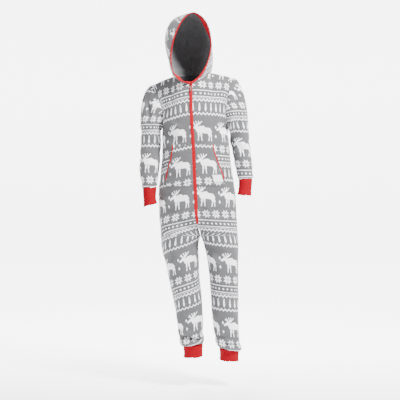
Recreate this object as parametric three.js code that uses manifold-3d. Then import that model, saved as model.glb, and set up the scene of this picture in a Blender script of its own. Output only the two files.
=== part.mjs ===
// A hooded fleece onesie, standing as it is worn: arms down, feet apart, hood up.
//
// Millimetres, +Z up, the front faces -Y. The origin is the middle of the neck
// opening, level with the shoulders that carry the garment. "right" and "left" are
// the wearer's, so right is -X.
//
// Each piece of cloth is a closed wall. Its outer face is worked out from tables of
// sizes, a row for each section, and its inner face lies one cloth's thickness inside.
import * as THREE from "three";
import { mergeVertices } from "three/addons/utils/BufferGeometryUtils.js";
import Module from "manifold-3d";

const wasm = await Module();
wasm.setup();

// Thicknesses and widths of what the garment is sewn from.
const FLEECE = 2.2;
const RIB_KNIT = 2.6;
const POCKET_CLOTH = 1.6;
const ZIP_TAPE = 1.2;
const TAPE_WIDE = 7.4;
const FACING_CLOTH = 1.2;
const FACING_WIDE = 20;
const BINDING_THICK = 3.6;
const BINDING_WIDE = 9;
const POCKET_BINDING_THICK = 2.4;
const POCKET_BINDING_WIDE = 7;
const LABEL_THICK = 0.8;

// Gaps: half of a seam's, and that under a piece which lies on another.
const HALF_SEAM = 0.2;
const LAID_ON = 0.4;

// Heights.
const UNDERARM_Z = -265;
const POCKET_TOP_Z = -350;
const SLIT_END_Z = -522;
const POCKET_BOTTOM_Z = -552;
const CROTCH_TOP_Z = -680;
const CROTCH_Z = -795;

// Rows of numbers with named columns.
function table(names, rows) {
  return rows.map((row) => Object.fromEntries(names.map((name, i) => [name, row[i]])));
}

function hermite(p0, m0, p1, m1, t) {
  const a = 2 * t * t * t - 3 * t * t + 1;
  const b = t * t * t - 2 * t * t + t;
  const c = t * t * t - t * t;
  return a * p0 + b * m0 + (1 - a) * p1 + c * m1;
}

// A smooth reading of one column between the rows, which never overshoots them.
function along(rows, key, at, by = "z") {
  const way = rows[0][by] > rows[rows.length - 1][by] ? -1 : 1;
  const x = rows.map((row) => row[by] * way);
  const y = rows.map((row) => row[key]);
  const t = THREE.MathUtils.clamp(at * way, x[0], x[x.length - 1]);
  let i = 0;
  while (i < x.length - 2 && t > x[i + 1]) i++;
  const rise = (k) => (y[k + 1] - y[k]) / (x[k + 1] - x[k]);
  const slope = (k) => {
    if (k === 0) return rise(0);
    if (k === x.length - 1) return rise(k - 1);
    const before = rise(k - 1);
    const after = rise(k);
    return before * after <= 0 ? 0 : (2 * before * after) / (before + after);
  };
  const h = x[i + 1] - x[i];
  return hermite(y[i], slope(i) * h, y[i + 1], slope(i + 1) * h, (t - x[i]) / h);
}

const vec = (x, y, z) => new THREE.Vector3(x, y, z);
const lerp = THREE.MathUtils.lerp;
const clamp = THREE.MathUtils.clamp;
const degrees = THREE.MathUtils.degToRad;
const UP = vec(0, 0, 1);

function hermitePoint(p0, m0, p1, m1, t) {
  return vec(
    hermite(p0.x, m0.x, p1.x, m1.x, t),
    hermite(p0.y, m0.y, p1.y, m1.y, t),
    hermite(p0.z, m0.z, p1.z, m1.z, t),
  );
}

const spread = (from, to, steps) =>
  Array.from({ length: steps + 1 }, (_, i) => lerp(from, to, i / steps));

// Sections are ellipses that are a little squarer than true ones.
const SQUARENESS = 2.2;
const squared = (value) => Math.sign(value) * Math.abs(value) ** (2 / SQUARENESS);

const SIDES = { right: -1, left: 1 };
const FACES = { front: -1, back: 1 };

// The trunk, from the underarm to the crotch. x is the middle, right and left are half
// widths, front and back half depths, and turn is how far it faces the wearer's right.
const TRUNK = table(
  ["z", "x", "right", "left", "front", "back", "turn"],
  [
    [UNDERARM_Z, 17, 165, 162, 127, 122, 7],
    [-370, 20, 168, 168, 125, 116, 5.5],
    [-470, 21, 176, 177, 122, 118, 4.2],
    [-540, 23, 186, 187, 121, 125, 3.5],
    [-600, 25, 192, 192, 121, 133, 3],
    [CROTCH_TOP_Z, 28, 193, 194, 120, 138, 3],
    [-740, 34, 194, 192, 118, 135, 2],
    [CROTCH_Z, 42, 197, 187, 114, 128, 0],
  ],
);

// The legs, from the crotch to the seam of the ankle cuff. wide is the half width, and
// tilt is how much lower the outer side of a row is than its middle.
const LEG_COLUMNS = ["z", "x", "y", "wide", "front", "back", "tilt"];
const LEGS = {
  right: table(LEG_COLUMNS, [
    [CROTCH_Z, -56.5, 0, 98.5, 114, 128, 0],
    [-840, -60, 1, 93, 110, 122, 5],
    [-930, -48, 2, 83, 102, 110, 9],
    [-1020, -37, 0, 75, 95, 97, 12],
    [-1110, -21, -2, 70, 88, 88, 13],
    [-1200, -12, 0, 65, 80, 86, 13],
    [-1268, -7, 2, 62, 75, 81, 13],
    [-1296, -4, 3, 58, 69, 76, 12],
    [-1317, -1, 3, 62, 72, 77, 12],
    [-1333, 3, 3, 58, 67, 70, 11],
    [-1341, 6, 3, 49.5, 57, 57, 9],
  ]),
  left: table(LEG_COLUMNS, [
    [CROTCH_Z, 135.5, 0, 93.5, 114, 128, 0],
    [-840, 145, 1, 87, 108, 120, 4],
    [-930, 154, 2, 77, 101, 108, 5],
    [-1020, 160, 0, 72, 95, 96, 6],
    [-1110, 163, -2, 69, 88, 88, 8],
    [-1200, 166, 0, 66, 81, 86, 10],
    [-1280, 172, 2, 64, 76, 81, 12],
    [-1313, 177, 3, 61, 70, 76, 13],
    [-1337, 181, 3, 65, 73, 77, 13],
    [-1355, 185, 3, 60, 67, 70, 12],
    [-1364, 186, 3, 49.5, 57, 57, 10],
  ]),
};

// The sleeves, from below the underarm to the seam of the wrist cuff, and the cuffs.
// deep is the half depth.
const TUBE_COLUMNS = ["z", "x", "y", "wide", "deep", "tilt"];
const SLEEVES = {
  right: table(TUBE_COLUMNS, [
    [-330, -206, 7, 51, 62, 0],
    [-380, -207, 3, 51, 60, 0],
    [-445, -211, -12, 50, 56, 3],
    [-500, -212, -27, 45, 50, 5],
    [-528, -210, -36, 40, 46, 6],
    [-548, -210, -42, 38, 42, 6],
    [-557, -209, -45, 34, 36, 6],
  ]),
  left: table(TUBE_COLUMNS, [
    [-330, 239, 7, 47, 60, 0],
    [-390, 251, 0, 45, 56, 0],
    [-445, 258, -14, 43, 52, 0],
    [-480, 262, -24, 40, 46, 0],
    [-504, 265, -31, 38, 42, 0],
    [-514, 266, -34, 34, 36, 0],
  ]),
};

const CUFFS = {
  wrist_cuff_right: table(TUBE_COLUMNS, [
    [-557.5, -209, -45, 34.5, 36.5, 6],
    [-590, -209, -53, 32.5, 35, 8],
    [-618, -208, -59, 30.5, 33, 10],
    [-645, -205, -64, 34, 36, 11],
  ]),
  wrist_cuff_left: table(TUBE_COLUMNS, [
    [-514.5, 266, -34, 34.5, 36.5, 0],
    [-545, 265, -42, 32.5, 35, 1],
    [-570, 263, -47, 32, 34, 3],
    [-596, 260, -52, 35, 37, 5],
  ]),
  ankle_cuff_right: table(TUBE_COLUMNS, [
    [-1341.6, 6, 3, 49.5, 57, 9],
    [-1361, 6, 3, 47.5, 55, 8],
    [-1382, 6, 2, 46.5, 54, 6],
    [-1402, 6, 2, 48, 55, 5],
  ]),
  ankle_cuff_left: table(TUBE_COLUMNS, [
    [-1364.6, 186, 3, 49.5, 57, 10],
    [-1383, 186, 3, 47.5, 55, 8],
    [-1402, 186, 2, 46.5, 54, 6],
    [-1420, 186, 2, 48, 55, 5],
  ]),
};

// Where a front panel's columns part between neck and shoulder, as shares from the zip
// to the side seam. Lower down the same column is the slanted mouth of the pocket.
const PARTING = table(
  ["z", "right", "left"],
  [
    [0, 0.42, 0.42],
    [UNDERARM_Z, 0.4, 0.36],
    [POCKET_TOP_Z, 0.386, 0.343],
    [SLIT_END_Z, 0.545, 0.52],
    [POCKET_BOTTOM_Z, 0.55, 0.525],
    [CROTCH_TOP_Z, 0.48, 0.48],
    [CROTCH_Z, 0.46, 0.46],
  ],
);
const NECK_SHARE = 0.42;

// The largest folds: soft troughs (depth below 0) and ridges along a line in the XZ
// plane. face is -1 for the front, 1 for the back and 0 for all round.
const FOLD_COLUMNS = ["x1", "z1", "x2", "z2", "face", "wide", "depth"];
const FOLDS = {
  body: table(FOLD_COLUMNS, [
    [-158, -250, -75, -330, -1, 24, -7],
    [170, -255, 105, -325, -1, 24, -6],
    [178, -580, 80, -605, -1, 24, -5],
    [-165, -595, -60, -600, -1, 24, -6],
    [46, -645, 60, -745, -1, 18, -7],
    [30, -772, -95, -725, -1, 24, -8],
    [64, -772, 170, -745, -1, 24, -7],
    [24, -830, -75, -905, -1, 26, -7],
    [78, -850, 185, -930, -1, 26, -7],
    [-100, -985, 0, -1050, -1, 26, -6],
    [100, -1060, 215, -1110, -1, 26, -6],
    [-80, -1185, 40, -1150, -1, 24, -6],
    [110, -1235, 220, -1200, -1, 24, -6],
    [-130, -300, -20, -420, 1, 28, -8],
    [160, -300, 50, -420, 1, 28, -8],
    [-140, -480, 170, -500, 1, 30, -7],
    [30, -770, -120, -700, 1, 28, -9],
    [55, -770, 190, -700, 1, 28, -9],
    [-120, -860, 0, -890, 1, 26, -7],
    [95, -880, 210, -860, 1, 26, -7],
    [-100, -1040, 20, -1075, 1, 24, -7],
    [105, -1075, 220, -1045, 1, 24, -7],
    [-75, -1230, 45, -1205, 1, 22, -6],
    [110, -1215, 225, -1245, 1, 22, -6],
  ]),
  sleeve_right: table(FOLD_COLUMNS, [
    [-222, -110, -208, -230, -1, 17, -8],
    [-185, -150, -166, -250, -1, 15, -7],
    [-255, -285, -165, -262, 0, 18, -6],
    [-255, -325, -160, -345, -1, 18, -6],
    [-250, -420, -165, -385, 0, 20, -5],
    [-240, -490, -170, -470, -1, 16, -4],
    [-230, -120, -215, -240, 1, 18, -8],
  ]),
  sleeve_left: table(FOLD_COLUMNS, [
    [246, -175, 208, -310, -1, 18, -9],
    [228, -90, 214, -160, -1, 16, -6],
    [215, -350, 290, -395, 0, 19, -6],
    [222, -440, 295, -410, -1, 18, -5],
    [232, -490, 290, -475, -1, 15, -4],
    [250, -130, 235, -250, 1, 18, -8],
  ]),
};

// How far the folds push a point along its own normal. A fold is shallower at its ends.
function foldDepth(folds, point, normal) {
  let depth = 0;
  for (const fold of folds) {
    const ax = fold.x2 - fold.x1;
    const az = fold.z2 - fold.z1;
    const share = ((point.x - fold.x1) * ax + (point.z - fold.z1) * az) / (ax * ax + az * az);
    const s = clamp(share, 0, 1);
    const away = Math.hypot(point.x - fold.x1 - ax * s, point.z - fold.z1 - az * s);
    const facing = fold.face === 0 ? 1 : clamp(normal.y * fold.face * 2, 0, 1);
    const taper = 0.45 + 0.55 * Math.sin(Math.PI * s);
    depth += fold.depth * taper * facing * Math.exp(-((away / fold.wide) ** 2));
  }
  return depth;
}

// One half of the trunk's front or back at one height. u runs from the centre line to
// the side seam. split is 0 on the trunk and 1 where the leg has closed into a tube.
function trunkPoint(side, face, u, z, split = 0) {
  const size = (key) => along(TRUNK, key, z);
  const wide = size(side < 0 ? "right" : "left") / (1 + split);
  const inner = -Math.asin(split ** (SQUARENESS / 2));
  const angle = lerp(inner, Math.PI / 2, u);
  const x = side * wide * (split + squared(Math.sin(angle)));
  const y = face * size(face < 0 ? "front" : "back") * squared(Math.cos(angle));
  return vec(x, y, z).applyAxisAngle(UP, degrees(-size("turn"))).add(vec(size("x"), 0, 0));
}

function legPoint(side, face, u, z) {
  const rows = side < 0 ? LEGS.right : LEGS.left;
  const angle = lerp(-Math.PI / 2, Math.PI / 2, u);
  const across = squared(Math.sin(angle));
  const depth = along(rows, face < 0 ? "front" : "back", z);
  return vec(
    along(rows, "x", z) + side * along(rows, "wide", z) * across,
    along(rows, "y", z) + face * depth * squared(Math.cos(angle)),
    z - along(rows, "tilt", z) * across,
  );
}

// The neckline is an ellipse that dips in front, and the shoulders slope from it. Both
// are turned and tipped as the body stands.
const NECK = { wide: 95, front: 96, back: 84, drop: 55, rise: 9, level: 5 };
const SHOULDER = { wide: 210, back: 4, drop: 33 };
const SHOULDER_TURN = degrees(-5.5);
const SHOULDER_TIP_UP = degrees(-4.3);

const onShoulders = (point) =>
  point.applyAxisAngle(UP, SHOULDER_TURN).applyAxisAngle(vec(0, 1, 0), SHOULDER_TIP_UP);

// angle is 0 at the front of the neck and half a turn at the back.
function necklinePoint(side, angle) {
  const forward = Math.cos(angle);
  const front = forward > 0;
  return onShoulders(
    vec(
      side * NECK.wide * Math.sin(angle),
      -(front ? NECK.front : NECK.back) * forward,
      NECK.level + (front ? -NECK.drop : NECK.rise) * forward * forward,
    ),
  );
}

function shoulderPoint(side, share) {
  return onShoulders(
    vec(
      side * lerp(NECK.wide, SHOULDER.wide, share),
      SHOULDER.back * share,
      NECK.level - SHOULDER.drop * share ** 1.2,
    ),
  );
}

// The ways the cloth leaves the underarm row and meets the neck or shoulder.
function yokeTangents(side, face, u) {
  const edge = u ** 4;
  const below = trunkPoint(side, face, u, UNDERARM_Z - 12);
  const up = trunkPoint(side, face, u, UNDERARM_Z).sub(below).multiplyScalar(225 / 12);
  const armholeStart = face < 0 ? vec(-90 * side, -240, 150) : vec(-70 * side, 205, 160);
  const neck = clamp(u / NECK_SHARE, 0, 1);
  const atCentre = face < 0 ? vec(0, 30, 150) : vec(0, -70, 150);
  const end = atCentre.lerp(vec(0, -face * 190, 0), neck ** 1.6);
  end.z += 55 * Math.sin(Math.PI * neck);
  const armholeEnd = face < 0 ? vec(60 * side, 240, 60) : vec(50 * side, -205, 60);
  return [up.lerp(armholeStart, edge), end.lerp(armholeEnd, edge)];
}

// The front or back above the underarm. up is 0 there and 1 at the neck and shoulder.
function yokePoint(side, face, u, up) {
  const neckAngle = (u / NECK_SHARE) * (Math.PI / 2);
  const top =
    u <= NECK_SHARE
      ? necklinePoint(side, face < 0 ? neckAngle : Math.PI - neckAngle)
      : shoulderPoint(side, (u - NECK_SHARE) / (1 - NECK_SHARE));
  const [start, end] = yokeTangents(side, face, u);
  return hermitePoint(trunkPoint(side, face, u, UNDERARM_Z), start, top, end, up);
}

// Stations down a body panel: 0 to 1 is the yoke, 1 to 2 the trunk, 2 to 3 the crotch
// curve, and 3 to 4 the leg.
const LAST_STATION = 4;
const legEnd = (side) => (side < 0 ? LEGS.right : LEGS.left).at(-1).z;

function panelPoint(side, face, u, station) {
  if (station <= 1) return yokePoint(side, face, u, 1 - station);
  if (station <= 2) return trunkPoint(side, face, u, lerp(UNDERARM_Z, CROTCH_TOP_Z, station - 1));
  if (station <= 3) {
    const split = Math.sin((station - 2) * (Math.PI / 2));
    return trunkPoint(side, face, u, lerp(CROTCH_TOP_Z, CROTCH_Z, split), split);
  }
  return legPoint(side, face, u, lerp(CROTCH_Z, legEnd(side), station - 3));
}

// Unit normal of a surface at (a, b), on the side of out, read just inside its borders.
const INSIDE_BORDER = 0.02;
const NORMAL_STEP = 0.004;

function normalOf(surface, a, b, out) {
  const s = clamp(a, INSIDE_BORDER, 1 - INSIDE_BORDER);
  const t = clamp(b, INSIDE_BORDER / LAST_STATION, 1 - INSIDE_BORDER / LAST_STATION);
  const da = surface(s + NORMAL_STEP, t).sub(surface(s - NORMAL_STEP, t));
  const db = surface(s, t + NORMAL_STEP).sub(surface(s, t - NORMAL_STEP));
  const normal = da.cross(db).normalize();
  return normal.dot(out(surface(s, t))) < 0 ? normal.negate() : normal;
}

// A grid of points and normals over a surface of two shares, each from 0 to 1.
function gridOf(surface, sharesAt, stations, outAt) {
  const over = (read) => stations.map((b) => sharesAt(b).map((a) => read(a, b)));
  return { points: over(surface), normals: over((a, b) => normalOf(surface, a, b, outAt(b))) };
}

// Where pieces meet, their walls turn the same way, so that neither cuts the other.
// Each edge is a list of a grid's normals, in step with the others.
function meetAlong(...edges) {
  edges[0].forEach((_, k) => {
    const shared = vec(0, 0, 0);
    for (const edge of edges) shared.add(edge[k]);
    shared.normalize();
    for (const edge of edges) edge[k].copy(shared);
  });
}

const columnNormals = (grid, i, from, to) => grid.normals.slice(from, to + 1).map((row) => row.at(i));

function foldCloth(grid, folds) {
  grid.points.forEach((row, j) => {
    row.forEach((point, i) => {
      const normal = grid.normals[j][i];
      point.addScaledVector(normal, foldDepth(folds, point, normal));
    });
  });
}

// Adds a column to a grid, a set distance past one that it has.
function addColumn(grid, after, wide) {
  grid.points.forEach((row, j) => {
    const normals = grid.normals[j];
    const share = wide / row[after].distanceTo(row[after + 1]);
    row.splice(after + 1, 0, row[after].clone().lerp(row[after + 1], share));
    normals.splice(after + 1, 0, normals[after].clone().lerp(normals[after + 1], share).normalize());
  });
}

// A point on the facets of a grid at a fractional column and row, lifted off them.
function onGrid(grid, column, row, lift) {
  const i = Math.min(Math.floor(column), grid.points[0].length - 2);
  const j = Math.min(Math.floor(row), grid.points.length - 2);
  const across = column - i;
  const down = row - j;
  const read = (rows) =>
    rows[j][i]
      .clone()
      .multiplyScalar(1 - Math.max(across, down))
      .addScaledVector(down > across ? rows[j + 1][i] : rows[j][i + 1], Math.abs(down - across))
      .addScaledVector(rows[j + 1][i + 1], Math.min(across, down));
  return read(grid.points).addScaledVector(read(grid.normals).normalize(), lift);
}

// A copy of a grid with its borders drawn in by half a seam, so that neighbours stay apart.
function drawIn(grid, borders) {
  const points = grid.points.map((row) => row.slice());
  const move = (point, towards) =>
    point.clone().addScaledVector(towards.clone().sub(point).normalize(), HALF_SEAM);
  const end = points.length - 1;
  const edge = points[0].length - 1;
  if (borders.top) points[0] = points[0].map((p, i) => move(p, points[1][i]));
  if (borders.bottom) points[end] = points[end].map((p, i) => move(p, points[end - 1][i]));
  for (const row of points) {
    if (borders.first) row[0] = move(row[0], row[1]);
    if (borders.last) row[edge] = move(row[edge], row[edge - 1]);
  }
  return { points, normals: grid.normals };
}

const lifted = (grid, lift) =>
  grid.points.map((row, j) => row.map((p, i) => p.clone().addScaledVector(grid.normals[j][i], lift)));

// A closed wall between two grids of points of the same size. closed joins the last
// column to the first.
function wallGeometry(outer, inner, closed = false) {
  const rows = outer.length;
  const columns = outer[0].length;
  const positions = [...outer.flat(), ...inner.flat()].flatMap((p) => [p.x, p.y, p.z]);
  const index = [];
  const at = (layer, row, column) => (layer * rows + row) * columns + (column % columns);
  const quad = (a, b, c, d) => index.push(a, b, c, a, c, d);
  const last = closed ? columns : columns - 1;
  for (let j = 0; j < rows - 1; j++) {
    for (let i = 0; i < last; i++) {
      quad(at(0, j, i), at(0, j + 1, i), at(0, j + 1, i + 1), at(0, j, i + 1));
      index.push(at(1, j, i), at(1, j + 1, i + 1), at(1, j + 1, i));
      index.push(at(1, j, i), at(1, j, i + 1), at(1, j + 1, i + 1));
    }
  }
  for (let i = 0; i < last; i++) {
    const end = rows - 1;
    quad(at(0, 0, i), at(0, 0, i + 1), at(1, 0, i + 1), at(1, 0, i));
    quad(at(0, end, i + 1), at(0, end, i), at(1, end, i), at(1, end, i + 1));
  }
  for (let j = 0; j < rows - 1 && !closed; j++) {
    const end = columns - 1;
    quad(at(0, j + 1, 0), at(0, j, 0), at(1, j, 0), at(1, j + 1, 0));
    quad(at(0, j, end), at(0, j + 1, end), at(1, j + 1, end), at(1, j, end));
  }
  if (volumeOf(positions, index) < 0) index.reverse();
  const geometry = new THREE.BufferGeometry();
  geometry.setAttribute("position", new THREE.Float32BufferAttribute(positions, 3));
  geometry.setIndex(index);
  geometry.computeVertexNormals();
  return geometry;
}

function volumeOf(positions, index) {
  const corner = (k) => new THREE.Vector3().fromArray(positions, 3 * index[k]);
  let sixfold = 0;
  for (let k = 0; k < index.length; k += 3) {
    sixfold += corner(k).dot(corner(k + 1).cross(corner(k + 2)));
  }
  return sixfold / 6;
}

// Materials.
const cloth = (color, roughness) =>
  new THREE.MeshStandardMaterial({ color, roughness, metalness: 0 });
const brightMetal = () =>
  new THREE.MeshStandardMaterial({ color: 0xc9c6c8, roughness: 0.35, metalness: 0.9 });
const GREY_FLEECE = 0xa9abad;
const RED_RIB = 0xd0142c;
const RED_TAPE = 0xd11f34;
const WHITE_PATCH = 0xf1f0f4;

const onesie = new THREE.Group();

function addPiece(name, geometry, material, parent = onesie) {
  const mesh = new THREE.Mesh(geometry, material);
  mesh.name = name;
  parent.add(mesh);
  return mesh;
}

const addCloth = (name, grid, thickness, color, closed = false) =>
  addPiece(name, wallGeometry(grid.points, lifted(grid, -thickness), closed), cloth(color, 0.95));

// A piece that lies on another: some of its columns and rows, moved out.
function addLaidOn(name, grid, columns, rows, lift, thickness, color) {
  const layer = (height) => rows.map((row) => columns.map((column) => onGrid(grid, column, row, height)));
  const wall = wallGeometry(layer(lift + thickness), layer(lift));
  return addPiece(name, wall, cloth(color, 0.9));
}

// Body panels: front and back, right and left, each cut in one from neck to ankle.
const NECK_COLUMNS = 6;
const SHOULDER_COLUMNS = 5;
const YOKE_ROWS = 9;
const TRUNK_HEIGHTS = [
  -307,
  POCKET_TOP_Z,
  -405,
  -462,
  SLIT_END_Z,
  POCKET_BOTTOM_Z,
  -595,
  -637,
  CROTCH_TOP_Z,
];
const ZIP_END_STATION = 2.29;
const CROTCH_STATIONS = [2.14, ZIP_END_STATION, 2.5, 2.7, 2.87, 3];
const LEG_SHARES = [0.08, 0.16, 0.25, 0.34, 0.43, 0.52, 0.61, 0.7, 0.78, 0.86, 0.915, 0.955, 0.985, 1];
const trunkStation = (z) => 1 + (z - UNDERARM_Z) / (CROTCH_TOP_Z - UNDERARM_Z);
const PANEL_STATIONS = [
  ...spread(0, 1, YOKE_ROWS),
  ...TRUNK_HEIGHTS.map(trunkStation),
  ...CROTCH_STATIONS,
  ...LEG_SHARES.map((share) => 3 + share),
];
const rowAt = (station) => PANEL_STATIONS.indexOf(station);
const CROTCH_ROW = rowAt(3);
const LAST_ROW = PANEL_STATIONS.length - 1;

// Shares of a panel's columns, parted at the neck's corner and at the pocket's mouth.
function panelShares(parting) {
  return [...spread(0, parting, NECK_COLUMNS), ...spread(parting, 1, SHOULDER_COLUMNS).slice(1)];
}

function partingAt(side, station) {
  const z = station <= 1 ? lerp(0, UNDERARM_Z, station) : panelPoint(side, -1, 1, station).z;
  return along(PARTING, side < 0 ? "right" : "left", z);
}

// The way out from the middle of the body or leg at a point.
function panelOut(side, station) {
  return (point) => {
    const leg = side < 0 ? LEGS.right : LEGS.left;
    const middle = station > 3 ? along(leg, "x", point.z) : along(TRUNK, "x", point.z) + side * 40;
    return vec(point.x - middle, point.y, station < 0.6 ? 60 : 0);
  };
}

function panelGrid(side, face) {
  const surface = (a, b) => panelPoint(side, face, a, b * LAST_STATION);
  const sharesAt = (b) => panelShares(face < 0 ? partingAt(side, b * LAST_STATION) : NECK_SHARE);
  const stations = PANEL_STATIONS.map((station) => station / LAST_STATION);
  return gridOf(surface, sharesAt, stations, (b) => panelOut(side, b * LAST_STATION));
}

const panels = {};
for (const [faceName, face] of Object.entries(FACES)) {
  for (const [sideName, side] of Object.entries(SIDES)) {
    panels[`${faceName}_${sideName}`] = panelGrid(side, face);
  }
}

for (const sideName of Object.keys(SIDES)) {
  const front = panels[`front_${sideName}`];
  const back = panels[`back_${sideName}`];
  meetAlong(front.normals[0].slice(NECK_COLUMNS), back.normals[0].slice(NECK_COLUMNS));
  const sideSeam = (panel) => columnNormals(panel, -1, YOKE_ROWS, LAST_ROW);
  const inseam = (panel) => columnNormals(panel, 0, CROTCH_ROW, LAST_ROW);
  meetAlong(sideSeam(front), sideSeam(back));
  meetAlong(inseam(front), inseam(back));
}
for (const faceName of Object.keys(FACES)) {
  const right = columnNormals(panels[`${faceName}_right`], 0, 0, CROTCH_ROW - 1);
  meetAlong(right, columnNormals(panels[`${faceName}_left`], 0, 0, CROTCH_ROW - 1));
}
meetAlong(...Object.values(panels).map((panel) => [panel.normals[CROTCH_ROW][0]]));

// The front panels have two more columns: the tape's edge, and that of the binding at
// the pocket's mouth.
const TAPE_COLUMN = 1;
const MOUTH_COLUMN = NECK_COLUMNS + 1;
for (const [name, panel] of Object.entries(panels)) {
  foldCloth(panel, FOLDS.body);
  if (name.startsWith("front")) {
    addColumn(panel, 0, TAPE_WIDE);
    addColumn(panel, MOUTH_COLUMN, POCKET_BINDING_WIDE);
  }
  const sewnIn = drawIn(panel, { top: true, bottom: true, first: true, last: true });
  addCloth(name, sewnIn, FLEECE, GREY_FLEECE);
}

// Sleeves: the top ring is the armhole, and the cap bends down into the arm. Ring share
// 0 is the shoulder tip, a quarter the front, and a half the underarm.
const CAP_ROWS = 6;
const CAP_SHARE = 0.5;
const ARM_SHARES = [0.16, 0.32, 0.48, 0.62, 0.74, 0.85, 0.94, 1];
const RING = 2 * YOKE_ROWS;

function tubePoint(rows, side, ring, z) {
  const angle = 2 * Math.PI * ring;
  const across = Math.cos(angle);
  return vec(
    along(rows, "x", z) + side * along(rows, "wide", z) * across,
    along(rows, "y", z) - along(rows, "deep", z) * Math.sin(angle),
    z - along(rows, "tilt", z) * across,
  );
}

function sleeveCapPoint(rows, side, ring, down) {
  const angle = 2 * Math.PI * ring;
  const outer = (1 + Math.cos(angle)) / 2;
  const start = vec(62 * side, -75 * Math.sin(angle), -60).lerp(vec(210 * side, 0, -130), outer);
  const end = vec(12 * side, 0, -70).lerp(vec(12 * side, 0, -260), outer);
  const armhole = yokePoint(side, ring <= 0.5 ? -1 : 1, 1, Math.abs(1 - 2 * ring));
  armhole.x += side * HALF_SEAM;
  return hermitePoint(armhole, start, tubePoint(rows, side, ring, rows[0].z), end, down);
}

// A grid round a tube, with its normals away from the middle.
function tubeGrid(surface, middleAt, stations) {
  const around = (a, b) => surface((a + 1) % 1, b);
  const rings = Array.from({ length: RING }, (_, i) => i / RING);
  const normal = (a, b) => {
    const t = clamp(b, INSIDE_BORDER, 1 - INSIDE_BORDER);
    const da = around(a + NORMAL_STEP, t).sub(around(a - NORMAL_STEP, t));
    const db = around(a, t + NORMAL_STEP).sub(around(a, t - NORMAL_STEP));
    const way = da.cross(db).normalize();
    return way.dot(around(a, t).sub(middleAt(t))) < 0 ? way.negate() : way;
  };
  return {
    points: stations.map((b) => rings.map((a) => around(a, b))),
    normals: stations.map((b) => rings.map((a) => normal(a, b))),
  };
}

const tubeMiddle = (rows, z) => vec(along(rows, "x", z), along(rows, "y", z), z);

for (const [sideName, side] of Object.entries(SIDES)) {
  const rows = SLEEVES[sideName];
  const armZ = (share) => {
    const down = Math.max(0, (share - CAP_SHARE) / (1 - CAP_SHARE));
    return lerp(rows[0].z, rows.at(-1).z, down);
  };
  const surface = (ring, share) =>
    share <= CAP_SHARE
      ? sleeveCapPoint(rows, side, ring, share / CAP_SHARE)
      : tubePoint(rows, side, ring, armZ(share));
  const armStations = ARM_SHARES.map((share) => lerp(CAP_SHARE, 1, share));
  const stations = [...spread(0, CAP_SHARE, CAP_ROWS), ...armStations];
  const grid = tubeGrid(surface, (share) => tubeMiddle(rows, armZ(share)), stations);
  // At the armhole the sleeve's wall turns with the body's, wherever both face one way.
  const frontEdge = columnNormals(panels[`front_${sideName}`], -1, 0, YOKE_ROWS);
  const backEdge = columnNormals(panels[`back_${sideName}`], -1, 1, YOKE_ROWS - 1);
  [...frontEdge, ...backEdge.reverse()].forEach((bodyNormal, k) => {
    const share = clamp(1.5 * bodyNormal.dot(grid.normals[0][k]), 0, 1);
    grid.normals[0][k].lerp(bodyNormal, share).normalize();
  });
  foldCloth(grid, FOLDS[`sleeve_${sideName}`]);
  addCloth(`sleeve_${sideName}`, drawIn(grid, { top: true, bottom: true }), FLEECE, GREY_FLEECE, true);
}

// Ribbed cuffs at the wrists and ankles.
const CUFF_ROWS = 3;
for (const [name, rows] of Object.entries(CUFFS)) {
  const side = name.endsWith("right") ? -1 : 1;
  const heightAt = (share) => lerp(rows[0].z, rows.at(-1).z, share);
  const surface = (ring, share) => tubePoint(rows, side, ring, heightAt(share));
  const middleAt = (share) => tubeMiddle(rows, heightAt(share));
  const grid = tubeGrid(surface, middleAt, spread(0, 1, CUFF_ROWS));
  addCloth(name, drawIn(grid, { top: true }), RIB_KNIT, RED_RIB, true);
}

// The hood: two halves, seamed over the crown from the face edge to the nape. Each
// column is an arc from the neck seam up to the crown seam, which this table gives.
const HOOD_SHIFT = -18;
const HOOD_TURN = degrees(8);
const CROWN = table(
  ["share", "x", "y", "z"],
  [
    [0, 13, -98, 301],
    [0.22, 12, -30, 307],
    [0.45, 4, 55, 302],
    [0.65, 0, 118, 250],
    [0.82, 0, 138, 160],
    [0.93, 5, 118, 75],
    [1, 12, 84, 14],
  ],
);
// The ways the cloth leaves the neck seam and meets the crown seam: out to the side,
// back and up. At the face the right half bulges low down and the left half high up.
const FLOW_COLUMNS = ["share", "out0", "back0", "up0", "out1", "back1", "up1"];
const BACK_FLOW = [
  [0.35, 210, -20, 300, -330, 0, 40],
  [0.55, 130, 0, 330, -340, 0, 10],
  [0.75, 80, 50, 250, -320, 20, -20],
  [0.9, 0, 70, 110, -190, 20, -10],
  [1, -53, 47, 3, -75, 0, 2],
];
const HOOD_FLOW = {
  right: table(FLOW_COLUMNS, [
    [0, 550, -30, 10, -295, 10, 10],
    [0.15, 370, -40, 150, -465, 10, 5],
    [0.35, 185, -20, 300, -525, 0, -45],
    [0.55, 135, 0, 330, -430, 0, -10],
    ...BACK_FLOW.slice(2),
  ]),
  left: table(FLOW_COLUMNS, [
    [0, 350, -90, 120, -400, -10, 85],
    [0.15, 290, -40, 173, -398, 10, 84],
    ...BACK_FLOW,
  ]),
};
// The shares of a hood half reach this far round the neck, in half turns.
const HOOD_NECK_END = 0.75;
const NAPE_GAP = 1.1;
const HOOD_COLUMNS = Math.round(2 * NECK_COLUMNS * HOOD_NECK_END);
const HOOD_ROWS = 11;

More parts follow.
